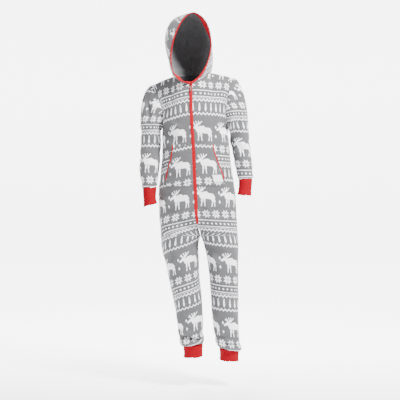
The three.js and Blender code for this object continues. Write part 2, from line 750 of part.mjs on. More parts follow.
function hoodPoint(side, share, up) {
  const nape = share ** 6;
  const turn = lerp(HOOD_TURN, SHOULDER_TURN, nape);
  const rows = side < 0 ? HOOD_FLOW.right : HOOD_FLOW.left;
  const size = (key) => along(rows, key, share, "share");
  const flow = (end) =>
    vec(side * size(`out${end}`), size(`back${end}`), size(`up${end}`)).applyAxisAngle(UP, turn);
  const crown = vec(...["x", "y", "z"].map((key) => along(CROWN, key, share, "share")));
  crown.applyAxisAngle(UP, turn).add(vec(HOOD_SHIFT, 0, 0));
  crown.lerp(necklinePoint(side, Math.PI), nape);
  const base = necklinePoint(side, Math.PI * HOOD_NECK_END * share);
  const point = hermitePoint(base, flow(0), crown, flow(1), up);
  point.z += lerp(HALF_SEAM, NAPE_GAP, nape);
  return point;
}

const hoodMiddle = vec(HOOD_SHIFT / 2, 10, 130);
const hoods = {};
const hoodCuts = {};
for (const [sideName, side] of Object.entries(SIDES)) {
  hoods[sideName] = gridOf(
    (a, b) => hoodPoint(side, a, b),
    () => spread(0, 1, HOOD_COLUMNS),
    spread(0, 1, HOOD_ROWS),
    () => (point) => point.clone().sub(hoodMiddle),
  );
}
meetAlong(hoods.right.normals.at(-1), hoods.left.normals.at(-1));
for (const [sideName, side] of Object.entries(SIDES)) {
  const hood = hoods[sideName];
  addColumn(hood, 0, FACING_WIDE);
  const cut = drawIn(hood, { top: true, bottom: true, last: true });
  hoodCuts[sideName] = cut;
  // The left half runs down instead of up, so that its facets mirror the right half's.
  const half = side < 0 ? cut : { points: cut.points.toReversed(), normals: cut.normals.toReversed() };
  addCloth(`hood_${sideName}`, half, FLEECE, GREY_FLEECE);
}

// The red edge of the hood runs from the zip over the crown to the zip again: a binding
// in front of the cloth, and a facing inside it. wayAt gives the strip's own direction.
function alongFace(wayAt, wide, lift) {
  const half = (grid) =>
    grid.points.map((row, j) =>
      row[0]
        .clone()
        .addScaledVector(wayAt(grid, j), wide)
        .addScaledVector(grid.normals[j][0], lift),
    );
  return [...half(hoods.right), ...half(hoods.left).reverse().slice(1)];
}

// Away from the cloth, square to the face edge. Over the zip the two ends stand upright.
function outOfHood(grid, j) {
  if (j === 0) return UP;
  const rows = grid.points;
  const edge = rows[Math.min(j + 1, rows.length - 1)][0].clone().sub(rows[j - 1][0]);
  if (j === rows.length - 1) edge.set(1, 0, 0).applyAxisAngle(UP, HOOD_TURN);
  const way = edge.cross(grid.normals[j][0]).normalize();
  return way.dot(rows[j][1].clone().sub(rows[j][0])) > 0 ? way.negate() : way;
}

const BINDING_GAP = 0.5;
const bindingOffsets = spread(BINDING_GAP, BINDING_GAP + BINDING_WIDE, 2);
const bindingFront = (BINDING_THICK - FLEECE) / 2;
addPiece(
  "hood_binding",
  wallGeometry(
    bindingOffsets.map((offset) => alongFace(outOfHood, offset, bindingFront)),
    bindingOffsets.map((offset) => alongFace(outOfHood, offset, bindingFront - BINDING_THICK)),
  ),
  cloth(RED_TAPE, 0.9),
);

const facingLift = -FLEECE - 3.5 * LAID_ON;
const facingLayer = (lift) => {
  const half = (grid) => lifted(grid, lift).map((row) => row.slice(0, 2));
  return [...half(hoodCuts.right), ...half(hoodCuts.left).reverse().slice(1)];
};
addPiece(
  "hood_facing",
  wallGeometry(facingLayer(facingLift), facingLayer(facingLift - FACING_CLOTH)),
  cloth(RED_TAPE, 0.9),
);

// Pockets on the front: each lies between the zip and a slanted mouth with a binding.
const rowsBetween = (from, to) => spread(from, to, to - from);
const pocketTop = rowAt(trunkStation(POCKET_TOP_Z));
const slitEnd = rowAt(trunkStation(SLIT_END_Z));
const pocketBottom = rowAt(trunkStation(POCKET_BOTTOM_Z));
const POCKET_FROM_TAPE = 0.06;
const BINDING_FROM_MOUTH = 0.06;
const pocketColumns = [TAPE_COLUMN + POCKET_FROM_TAPE, ...rowsBetween(TAPE_COLUMN + 1, MOUTH_COLUMN)];
for (const sideName of Object.keys(SIDES)) {
  const panel = panels[`front_${sideName}`];
  const rows = rowsBetween(pocketTop, pocketBottom);
  addLaidOn(`pocket_${sideName}`, panel, pocketColumns, rows, LAID_ON, POCKET_CLOTH, GREY_FLEECE);
  addLaidOn(
    `pocket_binding_${sideName}`,
    panel,
    [MOUTH_COLUMN + BINDING_FROM_MOUTH, MOUTH_COLUMN + 1],
    rowsBetween(pocketTop, slitEnd),
    LAID_ON,
    POCKET_BINDING_THICK,
    RED_TAPE,
  );
}

// A blank patch near the lower outer corner of the left pocket.
const LABEL = { left: 4.55, right: 6.35, top: 0.6, bottom: 0.5 };
addLaidOn(
  "label_patch",
  panels.front_left,
  [LABEL.left, 5, 6, LABEL.right],
  [slitEnd - 1 + LABEL.top, slitEnd, slitEnd + LABEL.bottom],
  LAID_ON + POCKET_CLOTH + LAID_ON,
  LABEL_THICK,
  WHITE_PATCH,
);

// The front zip: two tapes beside the centre line, closed over by one slider.
const tapeRows = rowsBetween(0, rowAt(ZIP_END_STATION));
for (const sideName of Object.keys(SIDES)) {
  const panel = panels[`front_${sideName}`];
  const start = HALF_SEAM / TAPE_WIDE;
  addLaidOn(`zip_tape_${sideName}`, panel, [start, TAPE_COLUMN], tapeRows, LAID_ON, ZIP_TAPE, RED_TAPE);
}

// The slider's and the pull's own frame: X across the zip, Y up it, Z out of it.
const SLIDER_ROW = 0.5;
const SLIDER = { topWide: 9.5, footWide: 6.5, tall: 13, thick: 1.8 };
const BRIDGE = { wide: 2.8, thick: 1.2, reach: 4.6, room: 3.2 };
const PULL = {
  barHeight: 3.3,
  barHalf: 0.75,
  thick: 1.4,
  eye: 5.2,
  eyeWide: 4.8,
  headWide: 8.4,
  tabWide: 6.6,
  long: 31,
};

function solidOf(geometry) {
  geometry.deleteAttribute("normal");
  geometry.deleteAttribute("uv");
  const merged = mergeVertices(geometry, 1e-4);
  const vertProperties = merged.attributes.position.array;
  const triVerts = Uint32Array.from(merged.index.array);
  return new wasm.Manifold(new wasm.Mesh({ numProp: 3, vertProperties, triVerts }));
}

function geometryOf(solid) {
  const mesh = solid.getMesh();
  const geometry = new THREE.BufferGeometry();
  geometry.setAttribute("position", new THREE.Float32BufferAttribute(mesh.vertProperties, 3));
  geometry.setIndex(Array.from(mesh.triVerts));
  geometry.computeVertexNormals();
  return geometry;
}

function roundedOutline(points, radius) {
  const shape = new THREE.Shape();
  const count = points.length;
  points.forEach(([x, y], i) => {
    const corner = new THREE.Vector2(x, y);
    const before = new THREE.Vector2(...points[(i + count - 1) % count]).sub(corner).normalize();
    const after = new THREE.Vector2(...points[(i + 1) % count]).sub(corner).normalize();
    const start = corner.clone().addScaledVector(before, radius);
    const end = corner.clone().addScaledVector(after, radius);
    if (i === 0) shape.moveTo(start.x, start.y);
    else shape.lineTo(start.x, start.y);
    shape.quadraticCurveTo(corner.x, corner.y, end.x, end.y);
  });
  shape.closePath();
  return shape;
}

const plate = (shape, depth) =>
  new THREE.ExtrudeGeometry(shape, { depth, bevelEnabled: false, curveSegments: 3 });

const box = (left, right, bottom, top) => [
  [left, top],
  [left, bottom],
  [right, bottom],
  [right, top],
];

// The bridge is drawn from the side, then turned about so that it stands on the plate.
function bridgeSheet(reach, top, wide, corner) {
  const shape = roundedOutline(box(-reach, reach, SLIDER.thick - corner, SLIDER.thick + top), corner);
  return plate(shape, wide).translate(0, 0, -wide / 2).rotateX(Math.PI / 2).rotateZ(Math.PI / 2);
}

function sliderGeometry() {
  const { topWide, footWide, tall, thick } = SLIDER;
  const outline = [
    [-topWide / 2, tall / 2],
    [-footWide / 2, -tall / 2],
    [footWide / 2, -tall / 2],
    [topWide / 2, tall / 2],
  ];
  const strap = bridgeSheet(BRIDGE.reach, BRIDGE.room + BRIDGE.thick, BRIDGE.wide, 1);
  const room = bridgeSheet(BRIDGE.reach - BRIDGE.thick, BRIDGE.room, BRIDGE.wide + 2, 0.2);
  const arch = solidOf(strap).subtract(solidOf(room));
  return geometryOf(arch.add(solidOf(plate(roundedOutline(outline, 1.6), thick))));
}

function pullGeometry() {
  const { barHalf, thick, eye, eyeWide, headWide, tabWide, long } = PULL;
  const outline = roundedOutline(
    [
      [-headWide / 2, barHalf],
      [-headWide / 2, -eye - 2],
      [-tabWide / 2, barHalf - long],
      [tabWide / 2, barHalf - long],
      [headWide / 2, -eye - 2],
      [headWide / 2, barHalf],
    ],
    0.7,
  );
  const tabHole = tabWide / 2 - 1.8;
  outline.holes.push(roundedOutline(box(-eyeWide / 2, eyeWide / 2, -barHalf - eye, -barHalf), 0.5));
  outline.holes.push(roundedOutline(box(-tabHole, tabHole, 3.4 - long, 7 - long), 0.5));
  return plate(outline, thick).translate(0, 0, -thick / 2);
}

const frontRight = panels.front_right;
const zipTop = onGrid(frontRight, 0, 0, 0);
const across = frontRight.normals[0][0].clone().cross(UP).negate().normalize();
const upZip = zipTop.clone().sub(onGrid(frontRight, 0, 1, 0)).normalize();
const outOfZip = across.clone().cross(upZip).normalize();
const zipper = new THREE.Group();
zipper.position
  .copy(onGrid(frontRight, 0, SLIDER_ROW, 0))
  .addScaledVector(outOfZip, LAID_ON + ZIP_TAPE + LAID_ON);
zipper.quaternion.setFromRotationMatrix(
  new THREE.Matrix4().makeBasis(upZip.clone().cross(outOfZip), upZip, outOfZip),
);
onesie.add(zipper);
addPiece("zip_slider", sliderGeometry(), brightMetal(), zipper);
const pull = addPiece("zip_pull", pullGeometry(), brightMetal(), zipper);
pull.position.z = PULL.barHeight;

export default onesie;
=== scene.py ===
"""A hooded onesie pajama in printed fleece with red trims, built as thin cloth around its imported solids."""

import math
from functools import partial

import bmesh
import bpy
import numpy as np
from mathutils import Matrix, Vector


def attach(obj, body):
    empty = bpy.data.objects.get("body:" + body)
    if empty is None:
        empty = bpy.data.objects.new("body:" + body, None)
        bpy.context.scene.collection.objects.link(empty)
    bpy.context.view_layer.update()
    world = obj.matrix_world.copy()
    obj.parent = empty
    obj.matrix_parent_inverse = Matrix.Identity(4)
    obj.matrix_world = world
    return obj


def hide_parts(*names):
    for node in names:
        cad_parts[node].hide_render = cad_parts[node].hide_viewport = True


bl_info = {
    "name": "Onesie Pajama",
    "version": (1, 0, 0),
    "blender": (4, 5, 0),
    "location": "View3D > Sidebar > Onesie",
    "description": "Builds a hooded onesie pajama in printed fleece with a zip, pockets and ribbed cuffs",
    "category": "Add Mesh",
}

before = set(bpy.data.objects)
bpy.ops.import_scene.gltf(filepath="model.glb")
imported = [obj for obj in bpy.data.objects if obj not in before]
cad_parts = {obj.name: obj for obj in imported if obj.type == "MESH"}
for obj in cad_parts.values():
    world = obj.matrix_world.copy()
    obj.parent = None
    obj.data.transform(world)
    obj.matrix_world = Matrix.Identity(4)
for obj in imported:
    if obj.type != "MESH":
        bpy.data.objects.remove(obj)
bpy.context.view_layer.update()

# Shapes are worked out in millimetres, as the solids are, and become metres in the mesh.
MM = 0.001
SIDES = {"right": -1, "left": 1}
FACES = {"front": -1, "back": 1}

# Walls of the cloths, and how far one piece lies from the next.
FLEECE, RIB_KNIT, POCKET_CLOTH, ZIP_TAPE, FACING_CLOTH, LABEL_CLOTH = 2.2, 2.6, 1.6, 1.2, 1.2, 0.8
HALF_SEAM, LAID_ON = 0.2, 0.4
TAPE_WIDE, FACING_WIDE, BINDING_WIDE, BINDING_THICK = 7.4, 20, 9, 3.6
MOUTH_BINDING_WIDE, MOUTH_BINDING_THICK = 7, 2.4

UNDERARM_Z, CROTCH_TOP_Z, CROTCH_Z = -265, -680, -795
POCKET_TOP_Z, SLIT_END_Z, POCKET_BOTTOM_Z = -350, -522, -552
LABEL_TOP_Z, LABEL_BOTTOM_Z = -497, -533
ZIP_END = 2.29
FLOOR_Z = -1.552

# How far a filled pocket stands out, and how strongly the folds are drawn.
POCKET_PUFF, FOLD_STRENGTH = 1.6, 1.35
# How far the print climbs for each millimetre to the viewer's right, on the trunk and the leg.
PRINT_SLOPE = {"right": 0.2, "left": -0.03}
LEG_PRINT_SLOPE = {"right": 0.14, "left": -0.07}
# How far the print is moved across on a leg, and across and down on a sleeve.
LEG_PRINT_AT = {"right": 52, "left": 35}
SLEEVE_PRINT_AT = {"right": (45, 155), "left": (38, 75)}
# The right leg's print is drawn closer together, by this share, below this depth.
PRINT_CLOSER, PRINT_CLOSER_BELOW = 0.072, 700
# Depth of the low waves of slack cloth, and the seed of their random draws.
BODY_SLACK, SLEEVE_SLACK, HOOD_SLACK = 2.1, 1.8, 1.3
BODY_SEED, SLEEVE_SEED, HOOD_SEED = 7, 21, 40
# A surface's normals are read from a small step to each side of a point.
NORMAL_STEP = 0.004
# Steps along each half of the hood's face edge.
EDGE_STEPS = 90
# The camera sees two metres across at the garment's distance.
HALF_VIEW, CAMERA_AWAY = 1.0, 5.0


class PajamaColours(bpy.types.PropertyGroup):
    """Colours of the cloths and trims"""

    grey: bpy.props.FloatVectorProperty(
        name="Fleece grey", description="Ground of the fleece", subtype="COLOR", default=(0.092, 0.092, 0.096)
    )
    white: bpy.props.FloatVectorProperty(
        name="Print white", description="Printed figures", subtype="COLOR", default=(0.9, 0.9, 0.94)
    )
    rib: bpy.props.FloatVectorProperty(
        name="Cuff red", description="Ribbed cuffs", subtype="COLOR", default=(0.22, 0.0, 0.006)
    )
    tape: bpy.props.FloatVectorProperty(
        name="Tape red",
        description="Zip tape, bindings and facing",
        subtype="COLOR",
        default=(0.33, 0.001, 0.01),
    )


class PajamaSizes(bpy.types.PropertyGroup):
    """Sizes of the surface detail"""

    rib_pitch: bpy.props.FloatProperty(
        name="Rib pitch", description="From one rib of a cuff to the next", default=0.0042, unit="LENGTH"
    )
    rib_depth: bpy.props.FloatProperty(
        name="Rib depth", description="Depth of the furrows between ribs", default=0.0011, unit="LENGTH"
    )
    tooth_pitch: bpy.props.FloatProperty(
        name="Tooth pitch", description="From one zip tooth to the next", default=0.0029, unit="LENGTH"
    )
    stitch_pitch: bpy.props.FloatProperty(
        name="Stitch pitch", description="From one stitch to the next", default=0.0038, unit="LENGTH"
    )
    repeat: bpy.props.FloatProperty(
        name="Print repeat", description="Height of one repeat of the print", default=0.32, unit="LENGTH"
    )


def table(names, rows):
    """Rows of numbers as one array for each named column"""
    return dict(zip(names.split(), np.array(rows, float).T))


TRUNK = table(
    "z x right left front back turn",
    [
        [UNDERARM_Z, 17, 165, 162, 127, 122, 7],
        [-370, 20, 168, 168, 125, 116, 5.5],
        [-470, 21, 176, 177, 122, 118, 4.2],
        [-540, 23, 186, 187, 121, 125, 3.5],
        [-600, 25, 192, 192, 121, 133, 3],
        [CROTCH_TOP_Z, 28, 193, 194, 120, 138, 3],
        [-740, 34, 194, 192, 118, 135, 2],
        [CROTCH_Z, 42, 197, 187, 114, 128, 0],
    ],
)
LEG_COLUMNS = "z x y wide front back tilt"
LEGS = {
    "right": table(
        LEG_COLUMNS,
        [
            [CROTCH_Z, -56.5, 0, 98.5, 114, 128, 0],
            [-840, -60, 1, 93, 110, 122, 5],
            [-930, -48, 2, 83, 102, 110, 9],
            [-1020, -37, 0, 75, 95, 97, 12],
            [-1110, -21, -2, 70, 88, 88, 13],
            [-1200, -12, 0, 65, 80, 86, 13],
            [-1268, -7, 2, 62, 75, 81, 13],
            [-1296, -4, 3, 58, 69, 76, 12],
            [-1317, -1, 3, 62, 72, 77, 12],
            [-1333, 3, 3, 58, 67, 70, 11],
            [-1341, 6, 3, 49.5, 57, 57, 9],
        ],
    ),
    "left": table(
        LEG_COLUMNS,
        [
            [CROTCH_Z, 135.5, 0, 93.5, 114, 128, 0],
            [-840, 145, 1, 87, 108, 120, 4],
            [-930, 154, 2, 77, 101, 108, 5],
            [-1020, 160, 0, 72, 95, 96, 6],
            [-1110, 163, -2, 69, 88, 88, 8],
            [-1200, 166, 0, 66, 81, 86, 10],
            [-1280, 172, 2, 64, 76, 81, 12],
            [-1313, 177, 3, 61, 70, 76, 13],
            [-1337, 181, 3, 65, 73, 77, 13],
            [-1355, 185, 3, 60, 67, 70, 12],
            [-1364, 186, 3, 49.5, 57, 57, 10],
        ],
    ),
}
TUBE_COLUMNS = "z x y wide deep tilt"
SLEEVES = {
    "right": table(
        TUBE_COLUMNS,
        [
            [-330, -206, 7, 51, 62, 0],
            [-380, -207, 3, 51, 60, 0],
            [-445, -211, -12, 50, 56, 3],
            [-500, -212, -27, 45, 50, 5],
            [-528, -210, -36, 40, 46, 6],
            [-548, -210, -42, 38, 42, 6],
            [-557, -209, -45, 34, 36, 6],
        ],
    ),
    "left": table(
        TUBE_COLUMNS,
        [
            [-330, 239, 7, 47, 60, 0],
            [-390, 251, 0, 45, 56, 0],
            [-445, 258, -14, 43, 52, 0],
            [-480, 262, -24, 40, 46, 0],
            [-504, 265, -31, 38, 42, 0],
            [-514, 266, -34, 34, 36, 0],
        ],
    ),
}
CUFFS = {
    "wrist_cuff_right": table(
        TUBE_COLUMNS,
        [
            [-557.5, -209, -45, 34.5, 36.5, 6],
            [-590, -209, -53, 32.5, 35, 8],
            [-618, -208, -59, 30.5, 33, 10],
            [-645, -205, -64, 34, 36, 11],
        ],
    ),
    "wrist_cuff_left": table(
        TUBE_COLUMNS,
        [
            [-514.5, 266, -34, 34.5, 36.5, 0],
            [-545, 265, -42, 32.5, 35, 1],
            [-570, 263, -47, 32, 34, 3],
            [-596, 260, -52, 35, 37, 5],
        ],
    ),
    "ankle_cuff_right": table(
        TUBE_COLUMNS,
        [
            [-1341.6, 6, 3, 49.5, 57, 9],
            [-1361, 6, 3, 47.5, 55, 8],
            [-1382, 6, 2, 46.5, 54, 6],
            [-1402, 6, 2, 48, 55, 5],
        ],
    ),
    "ankle_cuff_left": table(
        TUBE_COLUMNS,
        [
            [-1364.6, 186, 3, 49.5, 57, 10],
            [-1383, 186, 3, 47.5, 55, 8],
            [-1402, 186, 2, 46.5, 54, 6],
            [-1420, 186, 2, 48, 55, 5],
        ],
    ),
}
# The column from the neck's corner to the pocket's mouth, as a share from zip to side seam.
PARTING = table(
    "z right left",
    [
        [0, 0.42, 0.42],
        [UNDERARM_Z, 0.4, 0.36],
        [POCKET_TOP_Z, 0.386, 0.343],
        [SLIT_END_Z, 0.545, 0.52],
        [POCKET_BOTTOM_Z, 0.55, 0.525],
        [CROTCH_TOP_Z, 0.48, 0.48],
        [CROTCH_Z, 0.46, 0.46],
    ],
)
NECK_SHARE = 0.42
NECK_WIDE, NECK_FRONT, NECK_BACK, NECK_DROP, NECK_RISE, NECK_LEVEL = 95, 96, 84, 55, 9, 5
SHOULDER_WIDE, SHOULDER_BACK, SHOULDER_DROP = 210, 4, 33
SHOULDER_TURN, SHOULDER_TIP_UP = -5.5, -4.3
HOOD_SHIFT, HOOD_TURN, HOOD_NECK_END = -18, 8, 0.75
CROWN = table(
    "share x y z",
    [
        [0, 13, -98, 301],
        [0.22, 12, -30, 307],
        [0.45, 4, 55, 302],
        [0.65, 0, 118, 250],
        [0.82, 0, 138, 160],
        [0.93, 5, 118, 75],
        [1, 12, 84, 14],
    ],
)
# The ways a hood half leaves the neck seam and meets the crown seam.
FLOW_COLUMNS = "share out0 back0 up0 out1 back1 up1"
BACK_FLOW = [
    [0.35, 210, -20, 300, -330, 0, 40],
    [0.55, 130, 0, 330, -340, 0, 10],
    [0.75, 80, 50, 250, -320, 20, -20],
    [0.9, 0, 70, 110, -190, 20, -10],
    [1, -53, 47, 3, -75, 0, 2],
]
HOOD_FLOW = {
    "right": table(
        FLOW_COLUMNS,
        [
            [0, 550, -30, 10, -295, 10, 10],
            [0.15, 370, -40, 150, -465, 10, 5],
            [0.35, 185, -20, 300, -525, 0, -45],
            [0.55, 135, 0, 330, -430, 0, -10],
            *BACK_FLOW[2:],
        ],
    ),
    "left": table(
        FLOW_COLUMNS,
        [
            [0, 350, -90, 120, -400, -10, 85],
            [0.15, 290, -40, 173, -398, 10, 84],
            *BACK_FLOW,
        ],
    ),
}

# Folds: a trough where depth is below 0, a ridge where it is above, along a line in the
# XZ plane. face is -1 for the front, 1 for the back and 0 for all round.
FOLD_COLUMNS = "x1 z1 x2 z2 face wide depth"
MAIN_FOLDS = {
    "body": [
        [-158, -250, -75, -330, -1, 24, -7],
        [170, -255, 105, -325, -1, 24, -6],
        [178, -580, 80, -605, -1, 24, -5],
        [-165, -595, -60, -600, -1, 24, -6],
        [46, -645, 60, -745, -1, 18, -7],
        [30, -772, -95, -725, -1, 24, -8],
        [64, -772, 170, -745, -1, 24, -7],
        [24, -830, -75, -905, -1, 26, -7],
        [78, -850, 185, -930, -1, 26, -7],
        [-100, -985, 0, -1050, -1, 26, -6],
        [100, -1060, 215, -1110, -1, 26, -6],
        [-80, -1185, 40, -1150, -1, 24, -6],
        [110, -1235, 220, -1200, -1, 24, -6],
        [-48, -1296, 62, -1316, -1, 10, -13],
        [160, -1328, 232, -1336, -1, 10, -12],
        [-130, -300, -20, -420, 1, 28, -8],
        [160, -300, 50, -420, 1, 28, -8],
        [-140, -480, 170, -500, 1, 30, -7],
        [30, -770, -120, -700, 1, 28, -9],
        [55, -770, 190, -700, 1, 28, -9],
        [-120, -860, 0, -890, 1, 26, -7],
        [95, -880, 210, -860, 1, 26, -7],
        [-100, -1040, 20, -1075, 1, 24, -7],
        [105, -1075, 220, -1045, 1, 24, -7],
        [-75, -1230, 45, -1205, 1, 22, -6],
        [110, -1215, 225, -1245, 1, 22, -6],
    ],
    "sleeve_right": [
        [-222, -110, -208, -230, -1, 17, -8],
        [-185, -150, -166, -250, -1, 15, -7],
        [-255, -285, -165, -262, 0, 18, -6],
        [-255, -325, -160, -345, -1, 18, -6],
        [-250, -420, -165, -385, 0, 20, -5],
        [-240, -490, -170, -470, -1, 16, -4],
        [-230, -120, -215, -240, 1, 18, -8],
    ],
    "sleeve_left": [
        [246, -175, 208, -310, -1, 18, -9],
        [228, -90, 214, -160, -1, 16, -6],
        [215, -350, 290, -395, 0, 19, -6],
        [222, -440, 295, -410, -1, 18, -5],
        [232, -490, 290, -475, -1, 15, -4],
        [250, -130, 235, -250, 1, 18, -8],
    ],
}
# Creases that the solids are too coarse for.
FINE_FOLDS = {
    "body": [
        [-140, -118, -118, -215, -1, 10, -3.5],
        [-120, -235, -60, -262, -1, 9, 2.5],
        [150, -120, 142, -235, -1, 10, -4],
        [128, -205, 95, -262, -1, 9, -2.5],
        [-150, -345, -95, -372, -1, 9, -3],
        [150, -330, 118, -362, -1, 9, -3],
        [-70, -300, -20, -322, -1, 11, 2.5],
        [60, -288, 110, -300, -1, 11, -2.2],
        [-168, -430, -120, -455, -1, 10, -3.4],
        [172, -445, 136, -470, -1, 10, -3.2],
        [-165, -655, -85, -640, -1, 10, 3],
        [172, -640, 110, -655, -1, 10, 3],
        [-150, -690, -50, -672, -1, 9, -3],
        [96, -690, 180, -700, -1, 9, -3.2],
        [34, -700, 38, -770, -1, 8, 3.5],
        [66, -668, 80, -742, -1, 9, -3.4],
        [10, -798, -80, -812, -1, 9, 3.2],
        [74, -800, 150, -822, -1, 9, -3.4],
        [14, -870, -44, -952, -1, 10, 3],
        [96, -880, 140, -965, -1, 10, 2.8],
        [-130, -880, -90, -990, -1, 11, -3],
        [205, -900, 196, -1010, -1, 11, -2.8],
        [-98, -1078, -20, -1102, -1, 9, -3.4],
        [30, -1075, -36, -1120, -1, 9, 2.8],
        [112, -1128, 186, -1162, -1, 9, -3.2],
        [218, -1050, 170, -1088, -1, 9, 2.8],
        [-72, -1248, 10, -1262, -1, 8, -3.4],
        [-58, -1292, 52, -1312, -1, 7, -5],
        [48, -1278, 0, -1296, -1, 7, 3],
        [-40, -1326, 44, -1334, -1, 6, -3],
        [118, -1285, 190, -1302, -1, 8, -3.6],
        [158, -1330, 232, -1342, -1, 7, -5],
        [124, -1318, 170, -1330, -1, 7, 3],
        [236, -1292, 196, -1312, -1, 7, -3],
        [-120, -120, -95, -225, 1, 12, -3.5],
        [150, -115, 132, -230, 1, 12, -3.5],
        [-60, -260, 40, -275, 1, 12, 3],
        [-150, -405, -70, -438, 1, 11, -3.5],
        [175, -398, 96, -430, 1, 11, -3.4],
        [-80, -540, 110, -548, 1, 12, 3.2],
        [-160, -600, -60, -640, 1, 11, -3.4],
        [190, -606, 96, -642, 1, 11, -3.4],
        [18, -690, -50, -640, 1, 10, 3],
        [40, -812, -66, -838, 1, 10, -4],
        [84, -812, 176, -836, 1, 10, -3.8],
        [-128, -930, -30, -952, 1, 10, 3.2],
        [112, -944, 206, -928, 1, 10, 3],
        [-88, -1100, 14, -1122, 1, 9, -3.6],
        [118, -1108, 214, -1090, 1, 9, -3.6],
        [-66, -1290, 48, -1306, 1, 7, -4.4],
        [122, -1310, 238, -1326, 1, 7, -4.4],
        [-60, -1262, 20, -1270, 1, 8, 3],
        [130, -1276, 206, -1284, 1, 8, 3],
    ],
    "sleeve_right": [
        [-236, -130, -228, -196, -1, 8, 3],
        [-205, -138, -186, -236, -1, 8, 3.4],
        [-248, -226, -196, -252, -1, 8, -3.2],
        [-250, -302, -186, -288, -1, 8, 3],
        [-246, -362, -176, -372, -1, 9, -3],
        [-256, -440, -196, -430, -1, 8, 2.6],
        [-250, -456, -186, -446, 0, 8, -2.8],
        [-246, -520, -184, -510, 0, 7, -3],
        [-238, -538, -190, -534, -1, 6, 2.2],
        [-246, -250, -176, -268, 1, 9, -3.2],
        [-250, -370, -180, -392, 1, 9, -3.2],
        [-240, -470, -180, -458, 1, 8, 2.6],
    ],
    "sleeve_left": [
        [264, -200, 236, -262, -1, 8, 3.2],
        [222, -176, 204, -260, -1, 8, -3],
        [286, -300, 226, -332, -1, 9, -3.2],
        [216, -372, 284, -412, -1, 8, 2.8],
        [292, -430, 240, -452, 0, 8, -3],
        [232, -468, 290, -462, -1, 7, -2.6],
        [240, -500, 288, -494, 0, 6, -2.6],
        [230, -262, 284, -286, 1, 9, -3.2],
        [222, -380, 286, -400, 1, 9, -3.2],
        [236, -462, 290, -450, 1, 8, 2.6],
    ],
    "hood": [
        [-118, 62, -96, 172, 0, 13, -3.6],
        [-112, 190, -72, 262, 0, 12, -3],
        [74, 60, 66, 150, 0, 13, -3.6],
        [70, 176, 48, 252, 0, 12, -3],
        [-84, 30, 40, 52, 1, 14, -4.5],
        [-70, 96, 60, 118, 1, 15, 3.5],
        [-60, 160, 30, 190, 1, 14, -3.5],
    ],
}
FOLDS = {
    part: table(FOLD_COLUMNS, MAIN_FOLDS.get(part, []) + FINE_FOLDS[part])
    for part in ("body", "sleeve_right", "sleeve_left", "hood")
}


def mix(a, b, share):
    return a + (b - a) * share


def place(x, y, z):
    return np.stack(np.broadcast_arrays(x, y, z), -1).astype(float)


def hermite(p0, m0, p1, m1, t):
    a, b, c = 2 * t**3 - 3 * t**2 + 1, t**3 - 2 * t**2 + t, t**3 - t**2
    return a * p0 + b * m0 + (1 - a) * p1 + c * m1


def along(rows, key, at, by="z"):
    """A smooth reading of one column between the rows, which never overshoots them"""
    x, y, at = rows[by], rows[key], np.asarray(at, float)
    if x[0] > x[-1]:
        x, at = -x, -at
    at = np.clip(at, x[0], x[-1])
    rise = np.diff(y) / np.diff(x)
    both = rise[:-1] * rise[1:]
    inner = np.where(both > 0, 2 * both / np.where(both > 0, rise[:-1] + rise[1:], 1), 0)
    slope = np.concatenate([rise[:1], inner, rise[-1:]])
    i = np.clip(np.searchsorted(x, at) - 1, 0, len(x) - 2)
    wide = x[i + 1] - x[i]
    return hermite(y[i], slope[i] * wide, y[i + 1], slope[i + 1] * wide, (at - x[i]) / wide)


def turned(points, degrees):
    """Turned about the upright axis"""
    angle = np.radians(degrees)
    x, y, z = points[..., 0], points[..., 1], points[..., 2]
    return place(x * np.cos(angle) - y * np.sin(angle), x * np.sin(angle) + y * np.cos(angle), z)


def tipped(points, degrees):
    """Turned about the axis from front to back"""
    angle = np.radians(degrees)
    x, y, z = points[..., 0], points[..., 1], points[..., 2]
    return place(x * np.cos(angle) + z * np.sin(angle), y, z * np.cos(angle) - x * np.sin(angle))


def unit(vectors):
    return vectors / np.maximum(np.linalg.norm(vectors, axis=-1, keepdims=True), 1e-9)


def squared(value):
    """Sections are ellipses that are a little squarer than true ones"""
    return np.sign(value) * np.abs(value) ** (2 / 2.2)


def name_of(side):
    return "right" if side < 0 else "left"


def depth_key(face):
    return "front" if face < 0 else "back"


def trunk_point(side, face, u, z, split=0.0):
    """u is 0 at the zip or the centre back and 1 at the side seam. The trunk is one tube where
    split is 0, and parts into two legs as it nears 1"""
    wide = along(TRUNK, name_of(side), z) / (1 + split)
    angle = mix(-np.arcsin(np.clip(split, 0, 1) ** 1.1), math.pi / 2, u)
    x = side * wide * (split + squared(np.sin(angle)))
    y = face * along(TRUNK, depth_key(face), z) * squared(np.cos(angle))
    points = turned(place(x, y, z), -along(TRUNK, "turn", z))
    points[..., 0] += along(TRUNK, "x", z)
    return points


def leg_point(side, face, u, z):
    rows = LEGS[name_of(side)]
    angle = mix(-math.pi / 2, math.pi / 2, u)
    across = squared(np.sin(angle))
    return place(
        along(rows, "x", z) + side * along(rows, "wide", z) * across,
        along(rows, "y", z) + face * along(rows, depth_key(face), z) * squared(np.cos(angle)),
        z - along(rows, "tilt", z) * across,
    )


def on_shoulders(points):
    return tipped(turned(points, SHOULDER_TURN), SHOULDER_TIP_UP)


def neckline_point(side, angle):
    """Angle 0 is the zip, and pi the centre back"""
    forward = np.cos(angle)
    front = forward > 0
    x = side * NECK_WIDE * np.sin(angle)
    y = -np.where(front, NECK_FRONT, NECK_BACK) * forward
    return on_shoulders(place(x, y, NECK_LEVEL + np.where(front, -NECK_DROP, NECK_RISE) * forward**2))


def shoulder_point(side, share):
    share = np.clip(share, 0, 1)
    x = side * mix(NECK_WIDE, SHOULDER_WIDE, share)
    return on_shoulders(place(x, SHOULDER_BACK * share, NECK_LEVEL - SHOULDER_DROP * share**1.2))


